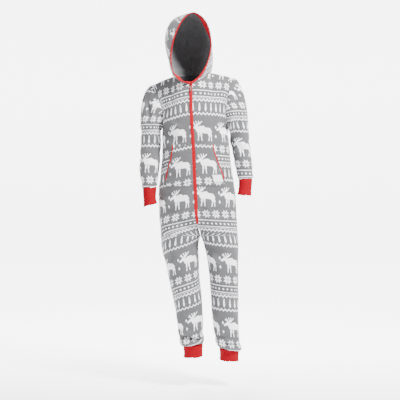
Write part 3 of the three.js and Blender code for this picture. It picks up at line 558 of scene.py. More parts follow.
def yoke_point(side, face, u, up):
    """The front or back above the underarm. up is 0 there and 1 at neck and shoulder"""
    u, up = np.broadcast_arrays(np.asarray(u, float), np.asarray(up, float))
    neck = np.clip(u / NECK_SHARE, 0, 1)
    angle = neck * math.pi / 2
    top = np.where(
        (u <= NECK_SHARE)[..., None],
        neckline_point(side, angle if face < 0 else math.pi - angle),
        shoulder_point(side, (u - NECK_SHARE) / (1 - NECK_SHARE)),
    )
    foot = trunk_point(side, face, u, UNDERARM_Z)
    rise = (foot - trunk_point(side, face, u, UNDERARM_Z - 12)) * 225 / 12
    edge = (u**4)[..., None]
    armhole_start = place(-90 * side, -240, 150) if face < 0 else place(-70 * side, 205, 160)
    centre_end = place(0, 30, 150) if face < 0 else place(0, -70, 150)
    end = mix(centre_end, place(0, -face * 190, 0), (neck**1.6)[..., None])
    end[..., 2] += 55 * np.sin(math.pi * neck)
    armhole_end = place(60 * side, 240, 60) if face < 0 else place(50 * side, -205, 60)
    return hermite(foot, mix(rise, armhole_start, edge), top, mix(end, armhole_end, edge), up[..., None])


def leg_end(side):
    return LEGS[name_of(side)]["z"][-1]


def panel_point(side, face, u, station):
    """0 to 1 is the yoke, 1 to 2 the trunk, 2 to 3 the crotch curve, and 3 to 4 the leg"""
    u, station = np.broadcast_arrays(np.asarray(u, float), np.asarray(station, float))
    split = np.sin(np.clip(station - 2, 0, 1) * math.pi / 2)
    trunk_z = mix(UNDERARM_Z, CROTCH_TOP_Z, np.clip(station - 1, 0, 1))
    trunk_z = trunk_z + (CROTCH_Z - CROTCH_TOP_Z) * split
    leg_z = mix(CROTCH_Z, leg_end(side), np.clip(station - 3, 0, 1))
    return np.select(
        [(station <= 1)[..., None], (station <= 3)[..., None]],
        [yoke_point(side, face, u, 1 - np.clip(station, 0, 1)), trunk_point(side, face, u, trunk_z, split)],
        leg_point(side, face, u, leg_z),
    )


def tube_point(rows, side, ring, z):
    """A point on a sleeve or cuff. Ring goes once round, from 0 to 1"""
    angle = 2 * math.pi * ring
    across = np.cos(angle)
    return place(
        along(rows, "x", z) + side * along(rows, "wide", z) * across,
        along(rows, "y", z) - along(rows, "deep", z) * np.sin(angle),
        z - along(rows, "tilt", z) * across,
    )


CAP_SHARE = 0.5


def sleeve_point(side, ring, share):
    """Ring 0 is the shoulder tip, a quarter the front, and a half the underarm"""
    rows = SLEEVES[name_of(side)]
    ring = np.mod(ring, 1.0)
    ring, share = np.broadcast_arrays(ring, np.asarray(share, float))
    outer = ((1 + np.cos(2 * math.pi * ring)) / 2)[..., None]
    swing = np.sin(2 * math.pi * ring)
    start = mix(place(62.0 * side, -75 * swing, -60), place(210 * side, 0, -130), outer)
    end = mix(place(12 * side, 0, -70), place(12 * side, 0, -260), outer)
    edge = np.abs(1 - 2 * ring)
    front, back = (yoke_point(side, face, np.ones_like(edge), edge) for face in (-1, 1))
    armhole = np.where((ring <= 0.5)[..., None], front, back)
    armhole[..., 0] += side * HALF_SEAM
    down = np.clip(share / CAP_SHARE, 0, 1)[..., None]
    cap = hermite(armhole, start, tube_point(rows, side, ring, rows["z"][0]), end, down)
    arm_z = mix(rows["z"][0], rows["z"][-1], np.clip((share - CAP_SHARE) / (1 - CAP_SHARE), 0, 1))
    return np.where((share <= CAP_SHARE)[..., None], cap, tube_point(rows, side, ring, arm_z))


def hood_point(side, share, up):
    """share is 0 at the face edge and 1 at the nape, up is 0 at the neck and 1 at the crown seam"""
    share, up = np.broadcast_arrays(np.asarray(share, float), np.asarray(up, float))
    nape = share**6
    turn = mix(HOOD_TURN, SHOULDER_TURN, nape)

    def flow(end):
        rows = HOOD_FLOW[name_of(side)]
        out, back, rise = (along(rows, f"{key}{end}", share, "share") for key in ("out", "back", "up"))
        return turned(place(side * out, back, rise), turn)

    crown = turned(place(*(along(CROWN, key, share, "share") for key in "xyz")), turn)
    crown = mix(crown + place(HOOD_SHIFT, 0, 0), neckline_point(side, math.pi), nape[..., None])
    base = neckline_point(side, math.pi * HOOD_NECK_END * share)
    point = hermite(base, flow(0), crown, flow(1), up[..., None])
    point[..., 2] += mix(HALF_SEAM, 1.1, nape)
    return point


def normals_of(surface, a, b, steps, inside, out):
    """Unit normals of surface(a, b), read just inside its borders and turned outwards"""
    s, t = np.clip(a, inside[0], 1 - inside[0]), np.clip(b, inside[1], inside[2] - inside[1])
    da = surface(s + steps[0], t) - surface(s - steps[0], t)
    db = surface(s, t + steps[1]) - surface(s, t - steps[1])
    normal = unit(np.cross(da, db))
    way = np.sign(np.sum(normal * out(surface(s, t)), axis=-1, keepdims=True))
    return normal * np.where(way == 0, 1, way)


def fold_depth(part, points, normals):
    """How far the folds push each point along its normal. A fold is shallower at its ends"""
    rows = FOLDS[part]
    depth = np.zeros(points.shape[:-1])
    for x1, z1, x2, z2, face, wide, deep in zip(*rows.values()):
        ax, az = x2 - x1, z2 - z1
        x, z = points[..., 0] - x1, points[..., 2] - z1
        share = np.clip((x * ax + z * az) / (ax * ax + az * az), 0, 1)
        away = np.hypot(x - ax * share, z - az * share)
        facing = 1 if face == 0 else np.clip(normals[..., 1] * face * 2, 0, 1)
        profile = np.exp(-((away / wide) ** 2)) - 0.28 * np.exp(-(((away - 1.9 * wide) / (0.8 * wide)) ** 2))
        depth += FOLD_STRENGTH * deep * (0.45 + 0.55 * np.sin(math.pi * share)) * facing * profile
    return depth


def off_borders(share, over=0.06):
    """0 on both borders and 1 between them, rising over a share of the width"""
    return np.clip(np.minimum(share, 1 - share) / over, 0, 1)


def ripple(points, deep, seed):
    """The slack of soft cloth: low waves of many lengths and ways, which fade in and out"""
    draw = np.random.default_rng(seed)
    total = np.zeros(points.shape[:-1])
    for length in (34, 46, 62, 80, 105, 140):
        way = draw.normal(size=3) * (1, 1, 0.8)
        way *= 2 * math.pi / length / np.linalg.norm(way)
        slow = draw.normal(size=3) * 2 * math.pi / 420
        phase, shift = draw.uniform(0, 2 * math.pi, 2)
        swell = 0.5 + 0.5 * np.sin(points @ slow + shift)
        bend = 1.6 * np.sin(points @ slow * 1.7)
        total += math.sqrt(length / 140) * swell * np.sin(points @ way + bend + phase)
    return deep * total / 2.2


def panel_middle(side):
    """Gives the ways out of a body half, from the middle of its trunk or leg"""

    def out(points):
        z = points[..., 2]
        leg = along(LEGS[name_of(side)], "x", z)
        trunk = along(TRUNK, "x", z) + side * 40
        middle = np.where(z < CROTCH_Z, leg, trunk)
        return place(points[..., 0] - middle, points[..., 1], np.where(z > -150, 60, 0))

    return out


def on_panel(side, face, u, station, lift=0.0):
    """Points and normals on a body panel with its folds, lifted off it"""
    u, station = np.broadcast_arrays(np.asarray(u, float), np.asarray(station, float))
    reading = (NORMAL_STEP, 4 * NORMAL_STEP), (0.02, 0.02, 4)
    normals = normals_of(partial(panel_point, side, face), u, station, *reading, panel_middle(side))
    # Over the zip and the centre back both halves turn alike.
    near = np.clip(1 - u / 0.05, 0, 1) * np.clip(2.4 - station, 0, 1)
    other = normals_of(partial(panel_point, -side, face), u * 0, station, *reading, panel_middle(-side))
    normals = unit(mix(normals, unit(normals + other), near[..., None]))
    points = panel_point(side, face, u, station)
    slack = off_borders(u) * ripple(points, BODY_SLACK, BODY_SEED)
    depth = fold_depth("body", points, normals) + slack
    return points + normals * np.asarray(depth + lift)[..., None], normals


def arc_lengths(points, axis):
    """How far each point of a grid lies from the start of its line"""
    steps = np.linalg.norm(np.diff(points, axis=axis), axis=-1)
    start = np.zeros_like(np.take(steps, [0], axis=axis))
    return np.concatenate([start, np.cumsum(steps, axis=axis)], axis=axis)


def eased(count, closer=0.5):
    """Shares from 0 to 1 that lie closer together at both ends"""
    share = np.linspace(0, 1, count + 1)
    return share - closer * np.sin(2 * math.pi * share) / (2 * math.pi)


def finish_piece(name, bm, materials, nodes, wall=None, body="garment"):
    """Makes the object, which rides on its body and stands for its CAD nodes"""
    mesh = bpy.data.meshes.new(name)
    bm.to_mesh(mesh)
    bm.free()
    piece = bpy.data.objects.new(name, mesh)
    bpy.context.scene.collection.objects.link(piece)
    mesh.polygons.foreach_set("use_smooth", [True] * len(mesh.polygons))
    for material in materials:
        mesh.materials.append(material)
    if wall:
        shell = piece.modifiers.new("wall", "SOLIDIFY")
        shell.thickness = wall * MM
        shell.offset = -1
        shell.material_offset = len(materials) - 1
    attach(piece, body)
    if nodes:
        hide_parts(*nodes)
    return piece


def cloth_piece(name, points, normals, print_at, wall, materials, nodes, dips="", closed=False):
    """A sheet of cloth over a grid of points, rows down and columns across. dips names the
    borders that are sewn in: top, bottom, first and last"""
    rows, columns = points.shape[0] - 1, points.shape[1] - 1
    across, down = arc_lengths(points, 1), arc_lengths(points, 0)
    to_seam = {"top": down, "bottom": down[-1:] - down, "first": across, "last": across[:, -1:] - across}
    flat = (across[:, -1].max() * MM, down[-1].max() * MM)
    diagonals = points[1:, 1:] - points[:-1, :-1], points[1:, :-1] - points[:-1, 1:]
    cell = np.linalg.norm(np.cross(*diagonals), axis=-1)
    area = min(cell.sum() / 2 * MM * MM, flat[0] * flat[1])
    points = points.copy()
    for border in dips.split():
        points -= normals * (1.5 * np.exp(-((to_seam[border] / 4.2) ** 2)))[..., None]
    bm = bmesh.new()
    bmesh.ops.create_grid(bm, x_segments=columns, y_segments=rows, size=0.5)
    uv = bm.loops.layers.uv.new("print")
    cells = {v: (round((v.co.y + 0.5) * rows), round((v.co.x + 0.5) * columns)) for v in bm.verts}
    for vertex, cell_at in cells.items():
        vertex.co = Vector(points[cell_at] * MM)
    if print_at is not None:
        for face in bm.faces:
            for loop in face.loops:
                loop[uv].uv = print_at[cells[loop.vert]]
    middle = (rows // 2, columns // 2)
    face = next(f for f in bm.faces if cells[f.verts[0]] == middle)
    face.normal_update()
    if face.normal.dot(Vector(normals[middle])) < 0:
        bmesh.ops.reverse_faces(bm, faces=bm.faces)
    if closed:
        bmesh.ops.remove_doubles(bm, verts=bm.verts, dist=1e-6)
    piece = finish_piece(name, bm, materials, nodes, wall)
    return piece, flat, area


def rounded(value):
    """A binding's section is an ellipse that is squarer than a true one"""
    return np.sign(value) * np.abs(value) ** 0.7


def tube_trim(name, path, across, out, half_wide, half_thick, material, nodes):
    """A folded binding: a rounded flat tube along a path"""
    bm = bmesh.new()
    bmesh.ops.create_grid(bm, x_segments=16, y_segments=len(path) - 1, size=0.5)
    for vertex in bm.verts:
        j = round((vertex.co.y + 0.5) * (len(path) - 1))
        angle = 2 * math.pi * (vertex.co.x + 0.5)
        offset = across[j] * half_wide * rounded(math.cos(angle))
        offset = offset + out[j] * half_thick * rounded(math.sin(angle))
        vertex.co = Vector((path[j] + offset) * MM)
    bmesh.ops.remove_doubles(bm, verts=bm.verts, dist=1e-6)
    bmesh.ops.holes_fill(bm, edges=[e for e in bm.edges if e.is_boundary])
    bmesh.ops.recalc_face_normals(bm, faces=bm.faces)
    piece = finish_piece(name, bm, [material], nodes)
    # A cut narrower than 10 mm is stated as 10 mm, the least that a sheet may have.
    return piece


# Materials.


class Field:
    """A number that varies over a surface, worked out by Math nodes"""

    def __init__(self, tree, socket):
        self.tree, self.socket = tree, socket

    def math(self, operation, *others, clamp=False):
        node = self.tree.nodes.new("ShaderNodeMath")
        node.operation, node.use_clamp = operation, clamp
        for socket, value in zip(node.inputs, (self, *others)):
            if isinstance(value, Field):
                self.tree.links.new(value.socket, socket)
            else:
                socket.default_value = value
        return Field(self.tree, node.outputs[0])

    def __add__(self, other):
        return self.math("ADD", other)

    def __sub__(self, other):
        return self.math("SUBTRACT", other)

    def __mul__(self, other):
        return self.math("MULTIPLY", other)

    def size(self):
        return self.math("ABSOLUTE")

    def clamped(self):
        return self.math("MULTIPLY", 1.0, clamp=True)

    def below(self, other):
        return self.math("MINIMUM", other)

    def above(self, other):
        return self.math("MAXIMUM", other)

    def centred(self, pitch, at=0.0):
        """Repeats each pitch, from minus to plus half a pitch about at"""
        return (self + (pitch / 2 - at)).math("FLOORED_MODULO", pitch) - pitch / 2


def new_material(name, roughness, metallic=0.0, sheen=0.0):
    material = bpy.data.materials.new(name)
    material.use_nodes = True
    shader = material.node_tree.nodes["Principled BSDF"]
    shader.inputs["Roughness"].default_value = roughness
    shader.inputs["Metallic"].default_value = metallic
    shader.inputs["Sheen Weight"].default_value = sheen
    shader.inputs["Sheen Roughness"].default_value = 0.6
    shader.inputs["Specular IOR Level"].default_value = 0.5 if metallic else 0.08
    return material, material.node_tree, shader


def noise_over(tree, scale, detail=2.0, stretch=(1, 1, 1), roughness=0.5):
    """Noise on Object coordinates, with scale in cells for each metre"""
    coordinates = tree.nodes.new("ShaderNodeTexCoord")
    mapping = tree.nodes.new("ShaderNodeMapping")
    mapping.inputs["Scale"].default_value = stretch
    noise = tree.nodes.new("ShaderNodeTexNoise")
    noise.inputs["Scale"].default_value = scale
    noise.inputs["Detail"].default_value = detail
    noise.inputs["Roughness"].default_value = roughness
    tree.links.new(coordinates.outputs["Object"], mapping.inputs["Vector"])
    tree.links.new(mapping.outputs["Vector"], noise.inputs["Vector"])
    return Field(tree, noise.outputs["Fac"])


def blended(tree, share, low, high):
    """A colour between two, low and high, by a share from 0 to 1"""
    node = tree.nodes.new("ShaderNodeMix")
    node.data_type = "RGBA"
    tree.links.new(share.socket, node.inputs["Factor"])
    for key, colour in (("A", low), ("B", high)):
        socket = [s for s in node.inputs if s.name == key and s.type == "RGBA"][0]
        if isinstance(colour, Field):
            tree.links.new(colour.socket, socket)
        else:
            socket.default_value = (*colour, 1)
    return Field(tree, [s for s in node.outputs if s.type == "RGBA"][0])


def coloured(tree, shader, share, low, high):
    """Gives a finish its colour, between low and high"""
    tree.links.new(blended(tree, share, low, high).socket, shader.inputs["Base Color"])


def object_axes(tree):
    """X, Y and Z of a piece's Object coordinates"""
    coordinates = tree.nodes.new("ShaderNodeTexCoord")
    parts = tree.nodes.new("ShaderNodeSeparateXYZ")
    tree.links.new(coordinates.outputs["Object"], parts.inputs[0])
    return [Field(tree, parts.outputs[k]) for k in range(3)]


def raised(tree, shader, height, distance, strength):
    bump = tree.nodes.new("ShaderNodeBump")
    bump.inputs["Distance"].default_value = distance
    bump.inputs["Strength"].default_value = strength
    tree.links.new(height.socket, bump.inputs["Height"])
    tree.links.new(bump.outputs["Normal"], shader.inputs["Normal"])


def shaded(colour, by):
    return tuple(min(1.0, c * by) for c in colour)


# A moose as rounded strokes about the middle of its cell: start, end and half width.
MOOSE = [
    (-20, 6, 24, 2, 14),
    (-16, 12, -2, 14, 11),
    (-24, 10, -38, 17, 8.5),
    (-40, 19, -54, 9, 5),
    (-33, 4, -30, -4, 3.5),
    (-24, -4, -25, -24, 4),
    (-25, -24, -28, -46, 2.2),
    (-12, -4, -12, -24, 4),
    (-12, -24, -10, -46, 2.2),
    (24, 0, 30, -20, 5.5),
    (30, -20, 24, -46, 2.2),
    (32, 2, 38, -22, 4.5),
    (38, -22, 38, -46, 2.2),
    (35, 5, 41, -4, 2),
    (-33, 25, -18, 36, 4),
    (-36, 27, -50, 36, 2),
    (-40, 31, -46, 42, 2),
    (-28, 31, -34, 46, 2),
    (-20, 37, -22, 47, 2),
    (-16, 36, -6, 46, 2),
]
MOOSE_PITCH, MOOSE_AT, MOOSE_MIDDLE = 128, 54, 52
FLAKE_PITCH, DOT_PITCH, ZIGZAG_PITCH, TREE_PITCH = 50, 21, 19, 30
FLAKE_MIDDLE, DOT_MIDDLE, TREE_TOP = 136, 184, 233
# How far below the shoulders a repeat of the print begins.
PRINT_START = 230


def stroke(tree, point, start, end, radius):
    """How far a point lies outside a rounded stroke"""

    def vector(operation, first, second=None):
        node = tree.nodes.new("ShaderNodeVectorMath")
        node.operation = operation
        tree.links.new(first, node.inputs[0])
        if second is not None:
            if isinstance(second, tuple):
                node.inputs[1].default_value = second
            else:
                tree.links.new(second, node.inputs[1])
        return node.outputs["Value" if operation in ("DOT_PRODUCT", "LENGTH") else "Vector"]

    run = Vector((end[0] - start[0], end[1] - start[1], 0))
    away = vector("SUBTRACT", point, (start[0], start[1], 0.0))
    share = Field(tree, vector("DOT_PRODUCT", away, tuple(run / run.length_squared))).clamped()
    scaled = tree.nodes.new("ShaderNodeVectorMath")
    scaled.operation = "SCALE"
    scaled.inputs[0].default_value = run
    tree.links.new(share.socket, scaled.inputs["Scale"])
    left = vector("SUBTRACT", away, scaled.outputs["Vector"])
    return Field(tree, vector("LENGTH", left)) - radius


def print_group(repeat):
    """Bands of moose, snowflakes, dots and trees on the cloth's own UV map, in one repeat"""
    group = bpy.data.node_groups.new("winter print", "ShaderNodeTree")
    for name, way in (("Across", "INPUT"), ("Down", "INPUT"), ("White", "OUTPUT")):
        group.interface.new_socket(name, in_out=way, socket_type="NodeSocketFloat")
    source = group.nodes.new("NodeGroupInput")
    result = group.nodes.new("NodeGroupOutput")
    across = Field(group, source.outputs["Across"])
    down = (Field(group, source.outputs["Down"]) - PRINT_START).math("FLOORED_MODULO", repeat)

    x = across.centred(MOOSE_PITCH, MOOSE_AT)
    y = (down - MOOSE_MIDDLE) * -1
    point = group.nodes.new("ShaderNodeCombineXYZ")
    group.links.new(x.socket, point.inputs[0])
    group.links.new(y.socket, point.inputs[1])
    nearest = None
    for ax, ay, bx, by, radius in MOOSE:
        one = stroke(group, point.outputs[0], (ax, ay), (bx, by), radius)
        nearest = one if nearest is None else nearest.below(one)

    between = (x.size() - MOOSE_PITCH / 2).size() * 1.9
    for middle in (20, -24):
        nearest = nearest.below(between + (y - middle).size() - 9)

    # An eight-pointed star: pairs of slanted petals, folded into an eighth of a turn.
    a = across.centred(FLAKE_PITCH).size()
    b = (down - FLAKE_MIDDLE).size()
    long, short = a.above(b), a.below(b)
    slant = long - short
    petal = (short * -1 + 1.2).above(short - 9.6).above((slant * -1 + 1.6) * 0.7).above((slant - 11) * 0.7)
    nearest = nearest.below(petal)

    for middle, half in ((168, 1.7), (200, 1.7), (208, 0.7)):
        nearest = nearest.below((down - middle).size() - half)
    dot_x, dot_y = across.centred(DOT_PITCH), down - DOT_MIDDLE
    nearest = nearest.below((dot_x * dot_x + dot_y * dot_y).math("SQRT") - 4.2)
    wave = across.math("PINGPONG", ZIGZAG_PITCH / 2)
    for middle in (214, 282):
        nearest = nearest.below(((down - middle - wave).size() - 3.0) * 0.7)

    # A slim pine of four tiers, which draws in again at its foot.
    fall = down - TREE_TOP
    slope = (fall * 0.115).below((fall * -1 + 40) * 0.35)
    tier = slope + fall.math("FLOORED_MODULO", 9.0) * 0.23 + 0.4
    side = across.centred(TREE_PITCH, 8).size()
    pine = (side - tier).above(fall * -1).above(fall - 36)
    trunk = (side - 1.5).above(fall * -1).above(fall - 41)
    nearest = nearest.below(pine).below(trunk)
    white = (nearest * -0.55 + 0.5).clamped()
    group.links.new(white.socket, result.inputs["White"])
    return group


def fleece_material(name, grey, white, group=None, print_left_by_painted_glare=1.0):
    """Brushed fleece: heathered ground, soft nap, and the print where there is one"""
    material, tree, shader = new_material(name, 0.95, sheen=0.09)
    heather = noise_over(tree, 420, 3, roughness=0.7)
    cloud = noise_over(tree, 26, 3)
    mottled = (heather * 1.5 - 0.25 + (cloud - 0.5) * 0.5).clamped()
    ground = blended(tree, mottled, shaded(grey, 0.84), shaded(grey, 1.18))
    if group:
        uv = tree.nodes.new("ShaderNodeUVMap")
        uv.uv_map = "print"
        parts = tree.nodes.new("ShaderNodeSeparateXYZ")
        tree.links.new(uv.outputs["UV"], parts.inputs[0])
        fray = noise_over(tree, 330, 1)
        node = tree.nodes.new("ShaderNodeGroup")
        node.node_tree = group
        for key, part in (("Across", 0), ("Down", 1)):
            value = Field(tree, parts.outputs[part]) * (1 / MM) + (fray - 0.5) * 3.4
            tree.links.new(value.socket, node.inputs[key])
        # The print's white share varies at random with real wear, and the last argument lowers it further as
        # painted glare, 1 where there is none.
        print_wear_and_painted_glare = noise_over(tree, 240, 2) * 0.24 + 0.83 * print_left_by_painted_glare
        share = Field(tree, node.outputs["White"]) * print_wear_and_painted_glare
        colour = blended(tree, share.clamped(), ground, white)
    else:
        colour = ground
    tree.links.new(colour.socket, shader.inputs["Base Color"])
    nap = noise_over(tree, 520, 4, roughness=0.75) + noise_over(tree, 170, 2) * 0.8
    raised(tree, shader, nap, 0.0011, 0.65)
    return material


def knit_material(name, colour):
    """Ribbed jersey: stitches in upright rows over the modelled ribs"""
    material, tree, shader = new_material(name, 0.9)
    loops = noise_over(tree, 900, 2, stretch=(1, 1, 0.45))
    cloud = noise_over(tree, 40, 2)
    share = (loops * 0.7 + cloud * 0.5 - 0.1).clamped()
    coloured(tree, shader, share, shaded(colour, 0.72), shaded(colour, 1.15))
    raised(tree, shader, loops, 0.0005, 0.6)
    return material


def woven_material(name, colour, pitch=900, sheen=0.02, roughness=0.75):
    """Tape, binding and patch: a close weave of crossing ridges"""
    material, tree, shader = new_material(name, roughness, sheen=sheen)
    x, y, z = object_axes(tree)
    one = ((x + y * 0.3 + z) * (2 * pitch)).math("SINE")
    two = ((x - y * 0.3 - z) * (2 * pitch)).math("SINE")
    weave = one * two * 0.5 + 0.5
    share = (weave * 0.5 + noise_over(tree, 60, 2) * 0.5).clamped()
    coloured(tree, shader, share, shaded(colour, 0.78), shaded(colour, 1.12))
    raised(tree, shader, weave, 0.0003, 0.6)
    return material


def metal_material(name, dull, bright):
    """Small cast parts, with uneven wear"""
    material, tree, shader = new_material(name, 0.28, metallic=1.0)
    wear = noise_over(tree, 700, 3)
    coloured(tree, shader, wear, dull, bright)
    tree.links.new((wear * 0.25 + 0.18).socket, shader.inputs["Roughness"])
    return material


MATERIALS = {}


def material_of(key):
    """Each material is made once, when a piece first needs it"""
    if key not in MATERIALS:
        colours = bpy.context.scene.pajama_colours
        grey, white = tuple(colours.grey), tuple(colours.white)
        rib, tape = tuple(colours.rib), tuple(colours.tape)
        repeat = bpy.context.scene.pajama_sizes.repeat / MM
        group = bpy.data.node_groups.get("winter print") or print_group(repeat)
        makers = {
            "fleece": lambda: fleece_material("printed fleece", grey, white, group),
            # The hood is the same fleece, painted 1.3 times lighter and with a weaker print: painted glare
            # from the light on the hood.
            "hood_fleece_painted_lighter": lambda: fleece_material(
                "printed fleece of the hood with painted glare", shaded(grey, 1.3), white, group, 0.8
            ),
            "lining": lambda: fleece_material("fleece wrong side", shaded(grey, 1.45), white),
            "rib": lambda: knit_material("red rib knit", rib),
            "tape": lambda: woven_material("red tape", tape),
            "binding": lambda: woven_material("red jersey binding", tape, 700, 0.02, 0.85),
            "teeth": lambda: woven_material("red zip teeth", shaded(tape, 1.1), 300, 0.0, 0.4),
            "red_thread": lambda: woven_material("red thread", shaded(tape, 0.85), 1400, 0.1, 0.7),
            "grey_thread": lambda: woven_material("grey thread", shaded(grey, 1.25), 1400, 0.1, 0.7),
            "label": lambda: woven_material("white satin patch", (0.84, 0.84, 0.88), 1100, 0.1, 0.5),
            "slider": lambda: metal_material("red lacquered zip metal", shaded(tape, 1.5), shaded(tape, 1.9)),
            # The pull's pale rose is a painted highlight: the pink shine of glossy red metal, drawn into its
            # colour.
            "pull": lambda: metal_material("zip pull metal with painted rose highlight", (0.7, 0.32, 0.3), (0.86, 0.46, 0.42)),
        }
        MATERIALS[key] = makers[key]()
    return MATERIALS[key]


# Pieces.


PANEL_STATIONS = np.concatenate(
    [
        np.linspace(0, 1, 50)[:-1],
        np.linspace(1, 2, 86)[:-1],
        np.linspace(2, 3, 27)[:-1],
        np.linspace(3, 3.85, 92)[:-1],
        np.linspace(3.85, 4, 30),
    ]
)


def panel_print(side, face, shares, stations, points):
    """Print coordinates in metres. Across grows to the viewer's right, down grows downwards"""
    across, down = arc_lengths(points, 1), arc_lengths(points, 0)
    underarm, crotch = np.searchsorted(stations, 1), np.searchsorted(stations, 3)
    middle = int(np.argmin(np.abs(shares - 0.5)))
    leg = (stations > 3)[:, None]
    u = np.where(leg, across - across[:, middle : middle + 1] + across[crotch, middle], across)
    u = np.where((stations < 1)[:, None], across[underarm], u)
    into_leg = np.clip(stations - 2, 0, 1)[:, None]
    u = -face * side * (u - LEG_PRINT_AT[name_of(side)] * into_leg)
    v = -points[..., 2]
    v = np.where((stations < 1)[:, None], v[underarm] - (down[underarm] - down), v)
    if face < 0:
        name = name_of(side)
        v = v + PRINT_SLOPE[name] * u + LEG_PRINT_SLOPE[name] * into_leg * (u - u[crotch, middle])
        if side < 0:
            below = np.clip(-points[..., 2] - PRINT_CLOSER_BELOW, 0, None)
            v = v + PRINT_CLOSER * into_leg * below
    return np.stack([u, v], -1) * MM


def build_body_panels():
    shares = eased(54)
    # The borders stand back from the seams by a very small share.
    inset = np.array([0.0008] + [0] * (len(shares) - 2) + [-0.0008])
    for face_name, face in FACES.items():
        for side_name, side in SIDES.items():
            points, normals = on_panel(side, face, (shares + inset)[None, :], PANEL_STATIONS[:, None])
            end = arc_lengths(points, 0)[-1:] - arc_lengths(points, 0)
            columns = np.linspace(0, 1, len(shares))[None, :]
            pucker = 1.5 * np.sin(46 * columns + 3 * np.sin(9 * columns)) * np.exp(-((end / 22) ** 2))
            points = points + normals * (pucker * off_borders(columns, 1 / 12))[..., None]
            name = f"{face_name}_{side_name}"
            print_at = panel_print(side, face, shares, PANEL_STATIONS, points)
            piece, flat, area = cloth_piece(
                f"fleece_{name}", points, normals, print_at, FLEECE,
                [material_of("fleece"), material_of("lining")], [name], "top bottom first last",
            )


def build_sleeves():
    shares = np.concatenate([np.linspace(0, CAP_SHARE, 62)[:-1], np.linspace(CAP_SHARE, 1, 50)])
    rings = np.linspace(0.5, 1.5, 97)
    for side_name, side in SIDES.items():
        surface = partial(sleeve_point, side)
        s, t = np.meshgrid(rings, shares)
        inside = np.clip(t, 0.01, 0.99)
        da = surface(s + NORMAL_STEP, inside) - surface(s - NORMAL_STEP, inside)
        db = surface(s, inside + NORMAL_STEP) - surface(s, inside - NORMAL_STEP)
        normals = unit(np.cross(da, db)) * side
        arm_row, outer_ring = 80, len(rings) // 2
        if normals[arm_row, outer_ring, 0] * side < 0:
            normals = -normals
        points = surface(s, t)
        down = arc_lengths(points, 0)
        slack = off_borders(t) * ripple(points, SLEEVE_SLACK, SLEEVE_SEED + side)
        depth = fold_depth(f"sleeve_{side_name}", points, normals) + slack
        end = down[-1:] - down
        round_it = 2 * math.pi * s
        # Gathers above the cuff, and shallower ones below the armhole seam.
        depth += 1.5 * np.sin(17 * round_it + 2 * np.sin(3 * round_it)) * np.exp(-((end / 20) ** 2))
        depth += 0.8 * np.sin(13 * round_it + 1) * np.exp(-((down / 16) ** 2))
        points = points + normals * depth[..., None]
        across = arc_lengths(points, 1)
        front = int(np.argmin(np.abs(rings - 1.25)))
        tube = np.searchsorted(shares, CAP_SHARE)
        print_across, print_down = SLEEVE_PRINT_AT[side_name]
        u = -side * (across - across[:, front : front + 1]) + print_across
        v = -points[..., 2]
        v = np.where(t < CAP_SHARE, v[tube] - 1.15 * (down[tube] - down), v) - print_down
        piece, flat, area = cloth_piece(
            f"fleece_sleeve_{side_name}", points, normals, np.stack([u, v], -1) * MM, FLEECE,
            [material_of("fleece"), material_of("lining")], [f"sleeve_{side_name}"],
            "top bottom", closed=True,
        )


def build_cuffs():
    sizes = bpy.context.scene.pajama_sizes
    pitch, deep = sizes.rib_pitch / MM, sizes.rib_depth / MM
    for name, rows in CUFFS.items():
        side = -1 if name.endswith("right") else 1
        round_it = math.pi * (rows["wide"][1] + rows["deep"][1])
        ribs = round(round_it / pitch)
        rings = np.linspace(0.5, 1.5, 5 * ribs + 1)
        heights = np.linspace(rows["z"][0] - HALF_SEAM, rows["z"][-1], 25)
        s, z = np.meshgrid(rings, heights)
        points = tube_point(rows, side, s, z)
        middle = place(along(rows, "x", z), along(rows, "y", z), z)
        squares = place(along(rows, "wide", z) ** 2, along(rows, "deep", z) ** 2, 1.0)
        normals = unit((points - middle) / squares)
        furrow = (0.5 - 0.5 * np.cos(2 * math.pi * ribs * s)) ** 2
        rolled = np.minimum(z - rows["z"][-1], 6) / 6
        depth = -deep * (1 - furrow) - (1 - np.sqrt(np.clip(rolled, 0, 1)))
        depth += 0.5 * np.sin(7 * s * math.pi + z / 9)
        piece, _, _ = cloth_piece(
            f"rib_{name}", points + normals * depth[..., None], normals, None, RIB_KNIT - deep,
            [material_of("rib")], [name], "top", closed=True,
        )


def hood_normals(side, share, up):
    middle = place(HOOD_SHIFT / 2, 10, 130)
    surface = partial(hood_point, side)
    steps = (NORMAL_STEP, NORMAL_STEP)
    return normals_of(surface, share, up, steps, (0.01, 0.01, 1), lambda p: p - middle)


def hood_edge():
    """The face edge from the right of the zip over the crown to its left: points, the
    cloth's normals there, and the way out of the hood's opening"""
    paths = []
    for side in (-1, 1):
        up = np.linspace(0, 1, EDGE_STEPS + 1)
        points, normals = hood_point(side, 0, up), hood_normals(side, 0 * up, up)
        top = unit(hood_normals(-1, np.zeros(1), np.ones(1)) + hood_normals(1, np.zeros(1), np.ones(1)))
        normals = unit(mix(normals, top, np.clip(up * 8 - 7, 0, 1)[:, None]))
        way = unit(np.cross(np.gradient(points, axis=0), normals))
        inward = hood_point(side, 0.05, up) - points
        way *= -np.sign(np.sum(way * inward, axis=1, keepdims=True))
        crown_way = unit(np.cross(turned(place(1, 0, 0), HOOD_TURN), top[0]))
        crown_way *= -np.sign(crown_way @ inward[-1])
        way = unit(mix(place(0, 0, 1), way, np.clip(up * 11, 0, 1)[:, None]))
        way = unit(mix(way, crown_way, np.clip(up * 11 - 10, 0, 1)[:, None]))
        paths.append([points, normals, way])
    return [np.concatenate([right, left[::-1][1:]]) for right, left in zip(*paths)]


def edge_flare(side, across, up):
    """How far the cloth draws in behind the face edge, which flares there and shows its facing"""
    middle, half, deep = (0.75, 0.26, 17) if side > 0 else (0.11, 0.09, 10)
    window = np.cos(np.clip((up - middle) / half, -1, 1) * math.pi / 2) ** 2
    return deep * window * (1 - np.exp(-((across / 15) ** 2))) * np.exp(-((across / 70) ** 2))


